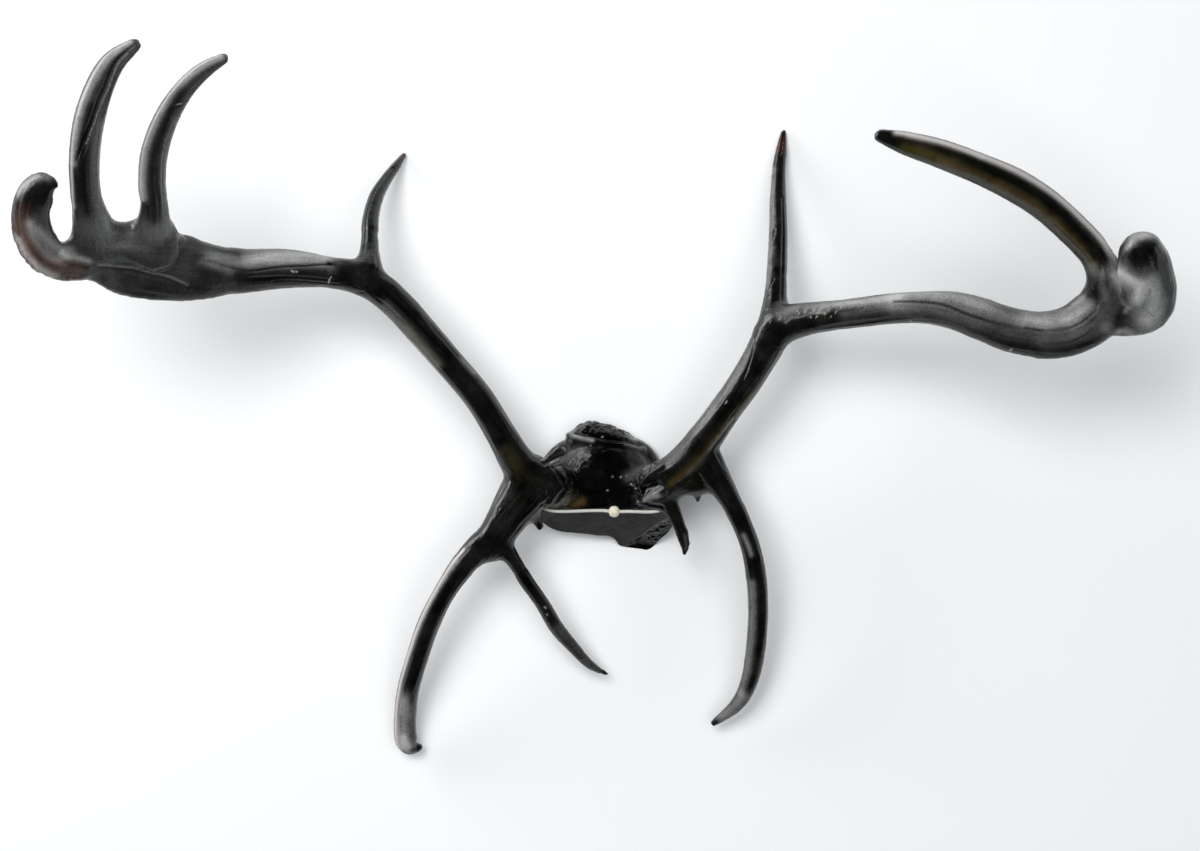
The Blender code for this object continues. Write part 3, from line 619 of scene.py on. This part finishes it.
        "groove": [(1.4, 0.9, [(0.6, 100), (2, 92), (4, 92), (6, 96)])],
        "ridge": [(2.2, 0.8, [(1.2, 44), (3, 42), (6, 44)])]},
    "right_end_tine": {
        "gloss": [(9.0, 0.8, [(4.6, 130), (4.9, 92), (4.0, 60)])]},
    "right_web": {
        "groove": [(1.6, 0.6, [(0.5, 80), (2.5, 70)])],
        "olive": [(5.0, 0.4, [(0.3, 80), (1.5, 80)])]},
    "right_bez_tine": {
        "dust_and_sheen": [(4.0, 0.34, [(5, 52), (7, 50), (8.4, 52)]), (6.0, 0.45, [(8.5, 84), (9.6, 84)]),
            (2.4, 0.35, [(3.6, 70), (4.2, 80)])],
        "dark": [(4.0, 0.9, [(9.8, 90), (10, 90)]), (4.0, 0.6, [(4.5, 120), (7, 122)])],
        "groove": [(1.2, 0.6, [(1.5, 110), (3.5, 104), (6, 100), (8, 100)])]},
    "right_brow_tine": {
        "groove": [(1.1, 0.8, [(0.8, 80), (2.5, 80), (4, 90)])],
        "dust_and_sheen": [(2.0, 0.1, [(3, 110), (4.2, 104)])],
        "gloss": [(6.0, 0.6, [(1, 90), (4, 90)])]},
}

# Marks on the skull cap: the same, with lines through x, y as seen from above. The grey along the nape ridge
# and on the dome's left shoulder and the light line under the right burr are painted highlights; the dark
# spot in the right burr's hollow is painted shade.
skullMarks = {
    "ridge": [(2.6, 2.2, [(-38, 57), (-31, 56), (-16, 53), (4, 49), (19, 47), (30, 44), (38, 42)]),
        (2.0, 1.8, [(-30, 68), (-24, 72), (-17, 70), (-20, 64), (-26, 63)]),
        (1.8, 1.4, [(-12, 69), (-2, 66), (9, 67)]), (1.3, 1.3, [(-63, 31), (-55, 38), (-48, 43)]),
        (1.3, 1.2, [(-60, 26), (-52, 30), (-44, 33)]),
        (2.2, 1.8, [(-57, 25), (-51, 16), (-45, 7), (-53, -4), (-62, -13)]),
        (2.4, 2.2, [(56, 26), (46, 19), (39, 13), (35, 7), (36, 1)]),
        (2.8, 2.6, [(38, -7), (44, -2), (51, -1), (58, 3)]), (1.2, 1.1, [(29, 17), (36, 22), (43, 25)]),
        (1.2, 1.1, [(27, 12), (34, 17), (41, 20)]), (1.6, 0.5, [(-3, 40), (-1, 24), (-2, 6), (0, -8)])],
    "groove": [(2.4, 1.6, [(-30, 60), (-15, 57), (4, 53), (20, 51), (33, 46)]),
        (1.4, 1.5, [(-64, 35), (-58, 40), (-51, 46)]), (1.3, 1.4, [(-61, 28), (-52, 34), (-41, 39)]),
        (1.2, 1.2, [(-58, 24), (-51, 26), (-43, 28)]),
        (1.6, 1.5, [(-52, 24), (-45, 14), (-40, 6), (-48, -6), (-58, -15)]),
        (4.0, 3.6, [(38, 4), (44, 6), (51, 9)]), (1.7, 1.8, [(34, -3), (38, -10), (46, -12), (57, -14)]),
        (1.2, 0.5, [(3, 38), (2, 20), (4, 2)])],
    "dust_and_sheen": [(2.0, 0.75, [(-34, 57), (-24, 54.5), (-14, 52.5)]),
        (1.4, 0.25, [(18, 47), (30, 44), (37, 42)]), (6.0, 0.22, [(-50, 29), (-40, 36), (-26, 42)]),
        (5.0, 0.25, [(22, 16), (34, 22), (44, 27)])],
    "rough": [(10.0, 1.0, [(-32, 64), (-15, 66), (4, 64), (20, 60)]),
        (6.0, 0.9, [(-60, 18), (-52, 6), (-60, -8)])],
    "gloss": [(16.0, 1.0, [(-48, 30), (-24, 42)]), (12.0, 0.9, [(26, 12), (44, 26)])],
    "crinkle": [(5.0, 0.9, [(-58, 20), (-50, 8), (-58, -6)]), (4.5, 0.8, [(28, 10), (38, 20), (50, 28)])],
    "dark": [(5.0, 1.0, [(38, 4), (44, 6), (51, 9)])],
    "painted_highlight": [(2.2, 0.35, [(39, -6), (44, -3), (52, -1)])],
    "chalk": [(0.56, 0.5, [(6, 16), (6.4, 16)]), (0.64, 0.5, [(14, 15.7), (14.5, 15.6)]),
        (0.64, 0.5, [(26, 8.5), (26.5, 8)]), (0.64, 0.5, [(30, 4.6), (30.6, 4.2)]),
        (0.64, 0.46, [(1, 2.4), (1.5, 2.4)]), (0.56, 0.6, [(32, -8.7), (32.4, -8.4)]),
        (0.64, 0.46, [(-4, 56), (-3.5, 56)]), (0.48, 0.52, [(20, 17), (20.4, 17)])],
    "olive": [(7.0, 0.5, [(-44, -10), (-34, -6)]), (4.0, 0.9, [(-32, -13), (-24, -9)])],
    "tan": [(3.0, 0.5, [(-30, -13), (-24, -10)])],
}

# Marks on the broad end tine of the right antler, through x, y as seen from above. Its light lines are
# painted highlights, its grey frost is partly painted sheen and its black band is painted shade.
endMarks = {
    "dust_and_sheen": [(4.0, 0.85, [(481, 230), (486, 240), (495, 243), (507, 242), (516, 233)]),
        (13.0, 0.75, [(506, 196), (511, 184), (512, 168)]),
        (6.0, 1.0, [(470, 214), (478, 206), (487, 200), (495, 196), (495, 186)]),
        (3.0, 0.5, [(484, 156), (490, 157), (499, 152), (512, 150)])],
    "painted_highlight": [(1.3, 0.5, [(481, 233), (483, 237)]), (2.6, 0.55, [(476, 209), (486, 202), (495, 199)]),
        (2.0, 0.18, [(495, 196), (494, 184), (489, 175)])],
    "dark": [(9.0, 1.3, [(486, 226), (499, 222), (514, 216), (524, 203)]),
        (7.0, 1.4, [(524, 203), (531, 188), (532, 160)])],
    "gloss": [(10.0, 1.0, [(484, 228), (501, 224), (517, 217), (527, 203)])],
    "ridge": [(3.0, 0.9, [(478, 209), (488, 202), (496, 199), (495, 186)])],
    "groove": [(1.2, 0.3, [(505, 193), (503, 178), (513, 170)])],
}

# Marks on the left palm and the roots of its tines, through x, y as seen from above. The grey frost is partly
# painted sheen and the dark patch is painted shade.
palmMarks = {
    "dust_and_sheen": [(20.0, 0.08, [(-486, 216), (-440, 230), (-404, 226)]),
        (13.0, 0.12, [(-474, 250), (-446, 243), (-418, 248)]),
        (5.0, 0.45, [(-511, 246), (-499, 231), (-491, 226)]),
        (1.3, 0.25, [(-466, 215), (-440, 214), (-410, 207), (-395, 200)])],
    "groove": [(1.4, 0.9, [(-466, 213), (-440, 212), (-410, 205), (-395, 198)])],
    "dark": [(5.0, 0.9, [(-388, 241), (-354, 232)])],
}

# Where those marks lie: x and y limits in mm, and how far up the skin must face.
markAreas = [(skullMarks, (-80, 80), (-70, 85), -0.2), (endMarks, (462, 560), (145, 256), -0.2),
             (palmMarks, (-520, -345), (180, 275), 0.1)]
endMarkReach = 26       # mm from the end tine's saw plane back into the palm

skinSetup = {
    "share": 0.4, "reach": 1.9,                     # how branches share the skin, in half-widths
    "skullFrom": 1.15, "skullBlend": 0.3,           # half-widths from a branch to the skull's own skin
    "sawnFrom": 1.12, "sawnBack": 5, "sawnProud": 8, "sawnSoft": 0.8,
    "crumple": 1.5, "crumpleSize": 6, "domeLumps": 0.45, "domeLumpSize": 14, "domeGrainSize": 7,
}
brokenEdge = {"from": (31, -50), "to": (63, -27), "sink": 1.6, "roughness": 1.1, "glint": 3.0}
markKinds = ("groove", "ridge", "crinkle", "dust_and_sheen", "olive", "tan", "dark", "painted_highlight", "chalk", "gloss", "rough")


def lineMask(u, v, line, width):       # 1 on the line, falling off over its width
    nearest = np.full(len(u), 1e9)
    for (u0, v0), (u1, v1) in zip(line, line[1:]):
        du, dv = u1 - u0, v1 - v0
        share = np.clip(((u - u0) * du + (v - v0) * dv) / np.maximum(du * du + dv * dv, 1e-9), 0, 1)
        nearest = np.minimum(nearest, (u - u0 - share * du) ** 2 + (v - v0 - share * dv) ** 2)
    return np.exp(-nearest / (width * width))


def branchRelief(at, seed):
    run, turn, radius = at["run"] / mm, at["turn"], at["radius"] / mm
    girth = np.stack([np.cos(turn) * radius, np.sin(turn) * radius], 1)
    swell = layeredNoise(np.column_stack([run / graining["swellLength"], girth / 22]), seed, 2)
    flute = layeredNoise(np.column_stack([run / graining["fluteLength"], girth / graining["fluteWidth"]]),
                         seed + 5, 2)
    grain = layeredNoise(np.column_stack([run / 26, girth / 1.9]), seed + 9, 2)
    flute = 1 - 2 * np.abs(flute)
    taper = np.clip(radius / 12, 0.15, 1.2)
    rise = graining["swell"] * swell * taper + graining["flute"] * flute * 0.5 * taper
    return rise, 0.6 * flute + 0.6 * grain


def paintBranch(name, at, sampled):
    found = {}
    run, radius = at["run"] / mm, at["radius"] / mm
    turn = np.mod(at["turn"] + math.pi / 2, 2 * math.pi) - math.pi / 2     # the seam lies underneath
    for kind, marks in branchMarks.get(name, {}).items():
        found[kind] = 0
        for width, strength, line in marks:
            stations = [t for t, _ in line]
            runs = np.interp(stations, sampled["times"], sampled["run"]) / mm
            runs += [10 * max(0, t - sampled["times"][-1]) for t in stations]    # past the tip, 10 mm each
            path = [(r, math.radians(a) * radius) for r, (_, a) in zip(runs, line)]
            found[kind] = found[kind] + lineMask(run, turn * radius, path, width) * strength
    return found


def relief(masks, points, crumple):       # how far the marks lift the skin, in mm
    return masks["ridge"] - masks["groove"] + np.clip(masks["crinkle"], 0, 1) * crumple \
        + np.clip(masks["rough"], 0, 1) * graining["roughDepth"] * layeredNoise(
            points / (graining["roughSize"] * mm), 77, 3) * 0.7


def shapeBone(bone):
    mesh = bone.data
    count = len(mesh.vertices)
    points = readVectors(mesh.vertices, "co")
    normals = readVectors(mesh.vertices, "normal")
    total, lift, streak = np.zeros(count), np.zeros(count), np.zeros(count)
    masks = {kind: np.zeros(count) for kind in markKinds}
    nearest = np.full(count, 9.0)
    found = {}
    for name, branch in branches.items():
        sampled = sampleBranch(branch)
        reach = sampled["sizes"].max() * 1.5
        low, high = sampled["places"].min(0) - reach, sampled["places"].max(0) + reach
        rows = np.flatnonzero(((points > low) & (points < high)).all(1))
        at = locate(points[rows], sampled)
        found[name] = (rows, at, sampled)
        nearest[rows] = np.minimum(nearest[rows], at["rho"])
    for k, (name, (rows, at, sampled)) in enumerate(found.items()):
        near = np.clip(1 - (at["rho"] - nearest[rows]) / skinSetup["share"], 0, 1) ** 2
        near = near * (at["rho"] < skinSetup["reach"])
        rise, grain = branchRelief(at, 31 * k + 3)
        lift[rows] += near * rise
        streak[rows] += near * grain
        total[rows] += near
        for kind, mask in paintBranch(name, at, sampled).items():
            masks[kind][rows] += near * mask
    held = total > 0
    for values in [lift, streak] + list(masks.values()):
        values[held] /= total[held]

    x, y = points[:, 0] / mm, points[:, 1] / mm
    place, along, _ = branches["right_end_tine"]["sawPlane"]
    fromSaw = (points / mm - np.array(place)) @ np.array(along)
    for marks, (xLow, xHigh), (yLow, yHigh), facing in markAreas:
        here = (x > xLow) & (x < xHigh) & (y > yLow) & (y < yHigh) & (normals[:, 2] > facing)
        if marks is endMarks:
            here &= fromSaw > -endMarkReach
        rows = np.flatnonzero(here)
        for kind, drawn in marks.items():
            for width, strength, line in drawn:
                masks[kind][rows] += strength * lineMask(x[rows], y[rows], line, width)
    crumple = layeredNoise(points / (skinSetup["crumpleSize"] * mm), 41, 3)
    crumple = skinSetup["crumple"] * (1 - 2.2 * np.abs(crumple))
    lift += relief(masks, points, crumple)
    lift += graining["fullness"] + graining["pitting"] * 0.5 * layeredNoise(
        points / (graining["pittingSize"] * mm), 900, 2)

    skin = np.clip((nearest - skinSetup["skullFrom"]) / skinSetup["skullBlend"], 0, 1)   # 1 on the skull
    dome = skin * (np.abs(x) < 80) * (y > -75) * (y < 85)
    lift += dome * skinSetup["domeLumps"] * layeredNoise(points / (skinSetup["domeLumpSize"] * mm), 51, 3)
    streak += dome * layeredNoise(points / (skinSetup["domeGrainSize"] * mm), 61, 3)
    points += normals * (lift * mm)[:, None]

    origin, outward = facePlane()
    out = (points - np.array(origin)) @ np.array(outward) / mm
    front = (nearest > skinSetup["sawnFrom"]) & (np.abs(x) < 80) & (y < skinSetup["sawnBack"])
    front &= out < skinSetup["sawnProud"]
    on = front & (out > -0.2)
    points[on] -= np.array(outward) * (out[on] * mm)[:, None]
    sawn = np.clip(out / skinSetup["sawnSoft"] + 1, 0, 1) * front
    (x0, y0), (x1, y1) = brokenEdge["from"], brokenEdge["to"]
    away = ((x - x0) * (y1 - y0) - (y - y0) * (x1 - x0)) / math.hypot(x1 - x0, y1 - y0)
    broken = np.clip(away / 2.5 + 0.2, 0, 1) * sawn
    ragged = layeredNoise(points / (4 * mm), 71, 3)
    sink = broken * (brokenEdge["sink"] + brokenEdge["roughness"] * ragged)
    points -= np.array(outward) * (sink * mm)[:, None]
    # a painted highlight: an olive glint along the broken edge's ridge, and a faint pale one beside it on the
    # right
    masks["olive"] += sawn * np.exp(-(away / brokenEdge["glint"]) ** 2) * 0.8
    masks["painted_highlight"] += sawn * np.exp(-((away - 1.0) / 0.9) ** 2) * 0.05 * (x > 28)
    sawn = sawn * (1 - broken)
    points += np.array(outward) * (sawn * 0.10 * layeredNoise(points / (3.5 * mm), 81, 2) * mm)[:, None]

    points[:, 2] = np.maximum(points[:, 2], 0)
    mesh.vertices.foreach_set("co", points.ravel())
    mesh.update()
    # the grooves, less the ridges, are kept for painted shade
    masks.update(streak=streak, sawn=sawn, cleft=masks["groove"] - 0.5 * masks["ridge"])
    for label in ("streak", "sawn", "cleft", "dust_and_sheen", "olive", "tan", "dark", "painted_highlight", "chalk", "gloss"):
        values = masks[label].astype(np.float32)
        mesh.attributes.new(label, "FLOAT", "POINT").data.foreach_set("value", values)


shapeBone(bone)
print("fine shape is on")


# One piece for each part of the frame, meeting face to face

def keepNormals(bone):
    normals = readVectors(bone.data.vertices, "normal").astype(np.float32)
    kept = bone.data.attributes.new("whole_normal", "FLOAT_VECTOR", "POINT")
    kept.data.foreach_set("vector", normals.ravel())


def sawForks(bone):
    bm = bmesh.new()
    bm.from_mesh(bone.data)
    bm.verts.ensure_lookup_table()
    tree = kdtree.KDTree(len(bm.verts))
    for vert in bm.verts:
        tree.insert(vert.co, vert.index)
    tree.balance()
    jobs = []
    for branch in branches.values():
        if "saw" in branch:
            t, radius = branch["saw"]
            place = routeFrame(branch["route"], t, branch.get("up", level))
            jobs.append((place.translation, place.col[2].to_3d(), radius * mm))
        if "sawPlane" in branch:
            place, along, radius = branch["sawPlane"]
            jobs.append((Vector(place) * mm, Vector(along).normalized(), radius * mm))
    nearby = [[bm.verts[i] for _, i, _ in tree.find_range(centre, radius)] for centre, _, radius in jobs]
    for (centre, along, radius), verts in zip(jobs, nearby):
        faces = {face for vert in verts if vert.is_valid for face in vert.link_faces}
        geom = list(faces) + list({e for f in faces for e in f.edges})
        geom += list({v for f in faces for v in f.verts})
        cut = bmesh.ops.bisect_plane(bm, geom=geom, dist=1e-7, plane_co=centre, plane_no=along)["geom_cut"]
        bmesh.ops.split_edges(bm, edges=[item for item in cut if isinstance(item, bmesh.types.BMEdge)])
    bm.to_mesh(bone.data)
    bm.free()


def separateLoose(bone):
    for item in bpy.data.objects:
        item.select_set(False)
    bone.select_set(True)
    bpy.context.view_layer.objects.active = bone
    before = set(bpy.data.objects)
    bpy.ops.object.mode_set(mode="EDIT")
    bpy.ops.mesh.select_all(action="SELECT")
    bpy.ops.mesh.separate(type="LOOSE")
    bpy.ops.object.mode_set(mode="OBJECT")
    return [bone] + [item for item in bpy.data.objects if item not in before]


def nearestPiece(pieces, place):
    def gap(item):
        return ((readVectors(item.data.vertices, "co") - np.array(place)) ** 2).sum(1).min()
    return min(pieces, key=gap)


def joinPieces(item, crumb):
    bpy.ops.object.select_all(action="DESELECT")
    crumb.select_set(True)
    item.select_set(True)
    bpy.context.view_layer.objects.active = item
    bpy.ops.object.join()


def closePiece(item):
    bm = bmesh.new()
    bm.from_mesh(item.data)
    bmesh.ops.holes_fill(bm, edges=[edge for edge in bm.edges if edge.is_boundary], sides=0)
    bm.to_mesh(item.data)
    bm.free()
    normals = readVectors(item.data.attributes["whole_normal"].data, "vector")
    item.data.shade_smooth()
    item.data.normals_split_custom_set_from_vertices(normals.tolist())


keepNormals(bone)
sawForks(bone)
loose = separateLoose(bone)
print("sawn into", len(loose), "pieces")
pieces = {"skull_cap": nearestPiece(loose, (0, 0, 0))}
for name, branch in branches.items():
    if "inside" in branch:
        pieces[name] = nearestPiece(loose, [v * mm for v in branch["route"][branch["inside"]][:3]])
for sliver in set(loose) - set(pieces.values()):       # a crumb from a saw cut goes back to its neighbour
    print("a crumb of", len(sliver.data.polygons), "faces")
    joinPieces(nearestPiece(pieces.values(), sliver.data.vertices[0].co), sliver)
for name, item in pieces.items():
    closePiece(item)
    print(name, len(item.data.polygons))


def newMaterial(name):
    material = bpy.data.materials.new(name)
    material.use_nodes = True
    tree = material.node_tree
    place = tree.nodes.new("ShaderNodeTexCoord").outputs["Object"]
    return material, tree, tree.nodes["Principled BSDF"], place


def plug(tree, socket, value):
    if isinstance(value, bpy.types.NodeSocket):
        tree.links.new(value, socket)
    elif isinstance(value, tuple):
        socket.default_value = (*value, 1)
    else:
        socket.default_value = value


def maths(tree, kind, first, second, clamp=False):
    node = tree.nodes.new("ShaderNodeMath")
    node.operation = kind
    node.use_clamp = clamp
    plug(tree, node.inputs[0], first)
    plug(tree, node.inputs[1], second)
    return node.outputs[0]


def times(tree, first, second, clamp=False):
    return maths(tree, "MULTIPLY", first, second, clamp)


def plus(tree, *values):
    total = values[0]
    for value in values[1:]:
        total = maths(tree, "ADD", total, value)
    return total


def blendColour(tree, share, first, second):
    node = tree.nodes.new("ShaderNodeMix")
    node.data_type = "RGBA"
    plug(tree, node.inputs["Factor"], share)
    plug(tree, node.inputs["A"], first)
    plug(tree, node.inputs["B"], second)
    return node.outputs["Result"]


def readMask(tree, name):
    node = tree.nodes.new("ShaderNodeAttribute")
    node.attribute_name = name
    return node.outputs["Fac"]


def makeNoise(tree, place, scale, detail, roughness):
    node = tree.nodes.new("ShaderNodeTexNoise")
    for label, value in (("Vector", place), ("Scale", scale), ("Detail", detail), ("Roughness", roughness)):
        plug(tree, node.inputs[label], value)
    return node.outputs["Fac"]


def spread(tree, value, low, high, toLow=0.0, toHigh=1.0):
    node = tree.nodes.new("ShaderNodeMapRange")
    plug(tree, node.inputs["Value"], value)
    for label, number in (("From Min", low), ("From Max", high), ("To Min", toLow), ("To Max", toHigh)):
        node.inputs[label].default_value = number
    return node.outputs["Result"]


def addBump(tree, shader, height, strength, distance):
    bump = tree.nodes.new("ShaderNodeBump")
    bump.inputs["Strength"].default_value = strength
    bump.inputs["Distance"].default_value = distance
    tree.links.new(height, bump.inputs["Height"])
    tree.links.new(bump.outputs["Normal"], shader.inputs["Normal"])


stainSetup = {
    "antler_stain": {"black": (0.0013, 0.0013, 0.0012), "worn": (0.0125, 0.012, 0.011), "gloss": 0.19,
                     "sheen": 0.5, "dustSheenColour": (0.37, 0.375, 0.365), "mottle": 46.0},
    "skull_stain": {"black": (0.0008, 0.0008, 0.0009), "worn": (0.0036, 0.0036, 0.0038), "gloss": 0.11,
                    "sheen": 0.27, "dustSheenColour": (0.30, 0.305, 0.31), "mottle": 60.0},
}
stainTints = {"olive": (0.040, 0.034, 0.008), "tan": (0.070, 0.027, 0.016), "painted_highlight": (0.50, 0.46, 0.44),
              "chalk": (0.80, 0.79, 0.76), "sawn": (0.0040, 0.0041, 0.0030)}


def stainMaterial(name):
    setup = stainSetup[name]
    material, tree, shader, place = newMaterial(name)
    mottle = makeNoise(tree, place, setup["mottle"], 5.0, 0.62)
    fine = makeNoise(tree, place, 420.0, 3.0, 0.6)
    speckle = makeNoise(tree, place, 760.0, 2.0, 0.7)
    cloud = makeNoise(tree, place, 16.0, 3.0, 0.5)
    streak, sawn = readMask(tree, "streak"), readMask(tree, "sawn")

    tone = plus(tree, spread(tree, mottle, 0.35, 0.75), times(tree, streak, 0.28))
    tone = times(tree, tone, spread(tree, cloud, 0.35, 0.65, 0.35, 1.1), True)
    colour = blendColour(tree, tone, setup["black"], setup["worn"])
    for tint in ("olive", "tan"):
        share = times(tree, readMask(tree, tint), spread(tree, mottle, 0.3, 0.65, 0.35, 1.0), True)
        colour = blendColour(tree, share, colour, stainTints[tint])
    colour = blendColour(tree, times(tree, sawn, 0.92), colour, stainTints["sawn"])

    uneven = plus(tree, spread(tree, mottle, 0.30, 0.70, -0.20, 0.20), times(tree, streak, 0.14))
    uneven = plus(tree, spread(tree, speckle, 0.30, 0.70, -0.36, 0.36), uneven)
    # grey dust with painted sheen: this light grey is partly real dust and partly painted sheen and
    # highlights on lit tops and rims
    dustAndSheen = times(tree, readMask(tree, "dust_and_sheen"), plus(tree, 0.80, uneven), True)
    # painted shade: the dark marks wipe the grey away where the surface should read black
    paintedShade = times(tree, readMask(tree, "dark"), 0.9, True)
    dustAndSheen = times(tree, dustAndSheen, maths(tree, "SUBTRACT", 1.0, paintedShade, True), True)
    colour = blendColour(tree, dustAndSheen, colour, setup["dustSheenColour"])
    # painted shade: the grooves are drawn darker
    colour = blendColour(tree, times(tree, readMask(tree, "cleft"), 0.75, True), colour, setup["black"])
    # painted highlights: the pale rims and glints are laid in a light grey colour
    colour = blendColour(tree, times(tree, readMask(tree, "painted_highlight"), 1.0, True), colour, stainTints["painted_highlight"])
    flecks = times(tree, readMask(tree, "chalk"), spread(tree, speckle, 0.35, 0.5), True)
    colour = blendColour(tree, flecks, colour, stainTints["chalk"])
    tree.links.new(colour, shader.inputs["Base Color"])

    gloss = plus(tree, setup["gloss"], spread(tree, mottle, 0.3, 0.7, -0.05, 0.13), times(tree, dustAndSheen, 0.34),
                 times(tree, sawn, 0.34))
    gloss = maths(tree, "SUBTRACT", gloss, times(tree, readMask(tree, "gloss"), 0.09), True)
    tree.links.new(gloss, shader.inputs["Roughness"])
    height = plus(tree, times(tree, streak, 0.30), times(tree, fine, 0.42), times(tree, speckle, 0.15))
    addBump(tree, shader, height, 0.55, 0.0006)
    shader.inputs["Specular IOR Level"].default_value = setup["sheen"]
    return material


stains = {name: stainMaterial(name) for name in stainSetup}
for name, item in pieces.items():
    slot = "skull_stain" if name == "skull_cap" else "antler_stain"
    item.name = item.data.name = name + "_bone"
    item.data.materials.clear()
    item.data.materials.append(stains[slot])
    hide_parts(name)
    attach(item, "root")
print("bone pieces are finished")


# The white string across the brow, with its bead.
stringSetup = {
    "route": [(-63, -16, 54.5), (-54, -18.5, 55.6), (-41, -19, 56.6), (-27, -18.5, 57.4), (-6, -18, 58.2),
              (8, -19, 58.6), (26, -19, 58.2), (39, -19.5, 57.4), (49, -19, 56.4), (57, -17.5, 55.2)],
    "beadStation": 5, "diameter": 3.2, "step": 0.7, "sides": 30,
    "strands": 3, "strandDepth": 0.10, "twist": 9.0,
    "colour": (0.72, 0.72, 0.68), "shade": (0.42, 0.42, 0.38),
}
beadSetup = {"diameter": 11.5, "length": 10.5, "bore": 4.4, "shoulder": 0.34, "colour": (0.78, 0.73, 0.60),
             "grain": (0.50, 0.43, 0.30)}


stringRows = [(*point, 1.0, 1.0) for point in stringSetup["route"]]


def layString():
    bm = bmesh.new()
    frames = [routeFrame(stringRows, t) for t in ringTimes(stringRows, stringSetup["step"])]
    radius, sides = stringSetup["diameter"] * mm / 2, stringSetup["sides"]
    made = bmesh.ops.create_circle(bm, cap_ends=True, segments=sides, radius=radius, matrix=frames[0])
    centre = frames[0].translation
    for k, vert in enumerate(made["verts"]):       # three strands seen end on
        lobe = abs(math.cos(stringSetup["strands"] * math.pi * k / sides))
        vert.co = centre + (vert.co - centre) * (1 - stringSetup["strandDepth"] * (1 - lobe))
    edges = list({edge for vert in made["verts"] for edge in vert.link_edges})
    twist = Matrix.Rotation(2 * math.pi * stringSetup["step"] / stringSetup["twist"], 4, "Z")
    for before, after in zip(frames, frames[1:]):
        edges = growRing(bm, edges, after @ twist @ before.inverted())
    bmesh.ops.contextual_create(bm, geom=edges)
    bmesh.ops.recalc_face_normals(bm, faces=bm.faces)
    mesh = meshFrom(bm, "string")
    mesh.shade_smooth()
    return linkObject("white_string", mesh), [frame.translation.copy() for frame in frames]


def turnBead():
    place = routeFrame(stringRows, stringSetup["beadStation"])
    half, radius = beadSetup["length"] * mm / 2, beadSetup["diameter"] * mm / 2
    bore, shoulder = beadSetup["bore"] * mm / 2, beadSetup["shoulder"]
    bm = bmesh.new()
    profile = [(bore, -half * 0.90), (bore * 1.08, -half)]
    for k in range(-7, 8):
        bulge = math.sqrt(max(0, 1 - (k / 7) ** 2))
        profile.append((radius * (shoulder + (1 - shoulder) * bulge), half * 0.98 * k / 7))
    profile += [(bore * 1.08, half), (bore, half * 0.90)]
    verts = [bm.verts.new((x, 0, z)) for x, z in profile]
    verts.append(verts[0])
    edges = [bm.edges.new(pair) for pair in zip(verts, verts[1:])]
    bmesh.ops.spin(bm, geom=verts[:-1] + edges, axis=(0, 0, 1), cent=(0, 0, 0), angle=2 * math.pi, steps=56,
                   use_merge=True, use_duplicate=False)
    bmesh.ops.remove_doubles(bm, verts=bm.verts, dist=1e-7)
    bmesh.ops.recalc_face_normals(bm, faces=bm.faces)
    for vert in bm.verts:       # the shallow cleft along its upper side
        side = math.atan2(vert.co.x, -vert.co.y)
        depth = math.exp(-(side / 0.13) ** 2) * max(0.0, (math.hypot(*vert.co.xy) - bore) / radius)
        vert.co.xy = vert.co.xy * (1 - 0.10 * depth)
    bmesh.ops.transform(bm, matrix=place, verts=bm.verts)
    mesh = meshFrom(bm, "bead")
    mesh.shade_smooth()
    return linkObject("cream_bead", mesh)


def stringMaterial():
    material, tree, shader, place = newMaterial("white_string")
    fibre = makeNoise(tree, place, 1500.0, 3.0, 0.6)
    soil = makeNoise(tree, place, 60.0, 2.0, 0.5)
    tone = times(tree, spread(tree, fibre, 0.35, 0.6), spread(tree, soil, 0.3, 0.6, 0.55, 1.0), True)
    colour = blendColour(tree, tone, stringSetup["shade"], stringSetup["colour"])
    tree.links.new(colour, shader.inputs["Base Color"])
    shader.inputs["Roughness"].default_value = 0.85
    shader.inputs["Specular IOR Level"].default_value = 0.25
    addBump(tree, shader, fibre, 0.6, 0.0002)
    return material


def beadMaterial():
    material, tree, shader, place = newMaterial("bead_cream")
    stretch = tree.nodes.new("ShaderNodeMapping")
    stretch.inputs["Scale"].default_value = (0.25, 1.0, 1.0)
    tree.links.new(place, stretch.inputs["Vector"])
    grain = makeNoise(tree, stretch.outputs["Vector"], 700.0, 4.0, 0.6)
    share = spread(tree, grain, 0.42, 0.66, 0.0, 0.55)
    colour = blendColour(tree, share, beadSetup["colour"], beadSetup["grain"])
    tree.links.new(colour, shader.inputs["Base Color"])
    tree.links.new(spread(tree, grain, 0.3, 0.7, 0.36, 0.52), shader.inputs["Roughness"])
    addBump(tree, shader, grain, 0.3, 0.0002)
    return material


string, stringPath = layString()
string.data.materials.append(stringMaterial())
bead = turnBead()
bead.data.materials.append(beadMaterial())
for item, node, slot in ((string, "string", "white_string"), (bead, "string_bead", "bead_cream")):
    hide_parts(node)
    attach(item, "root")
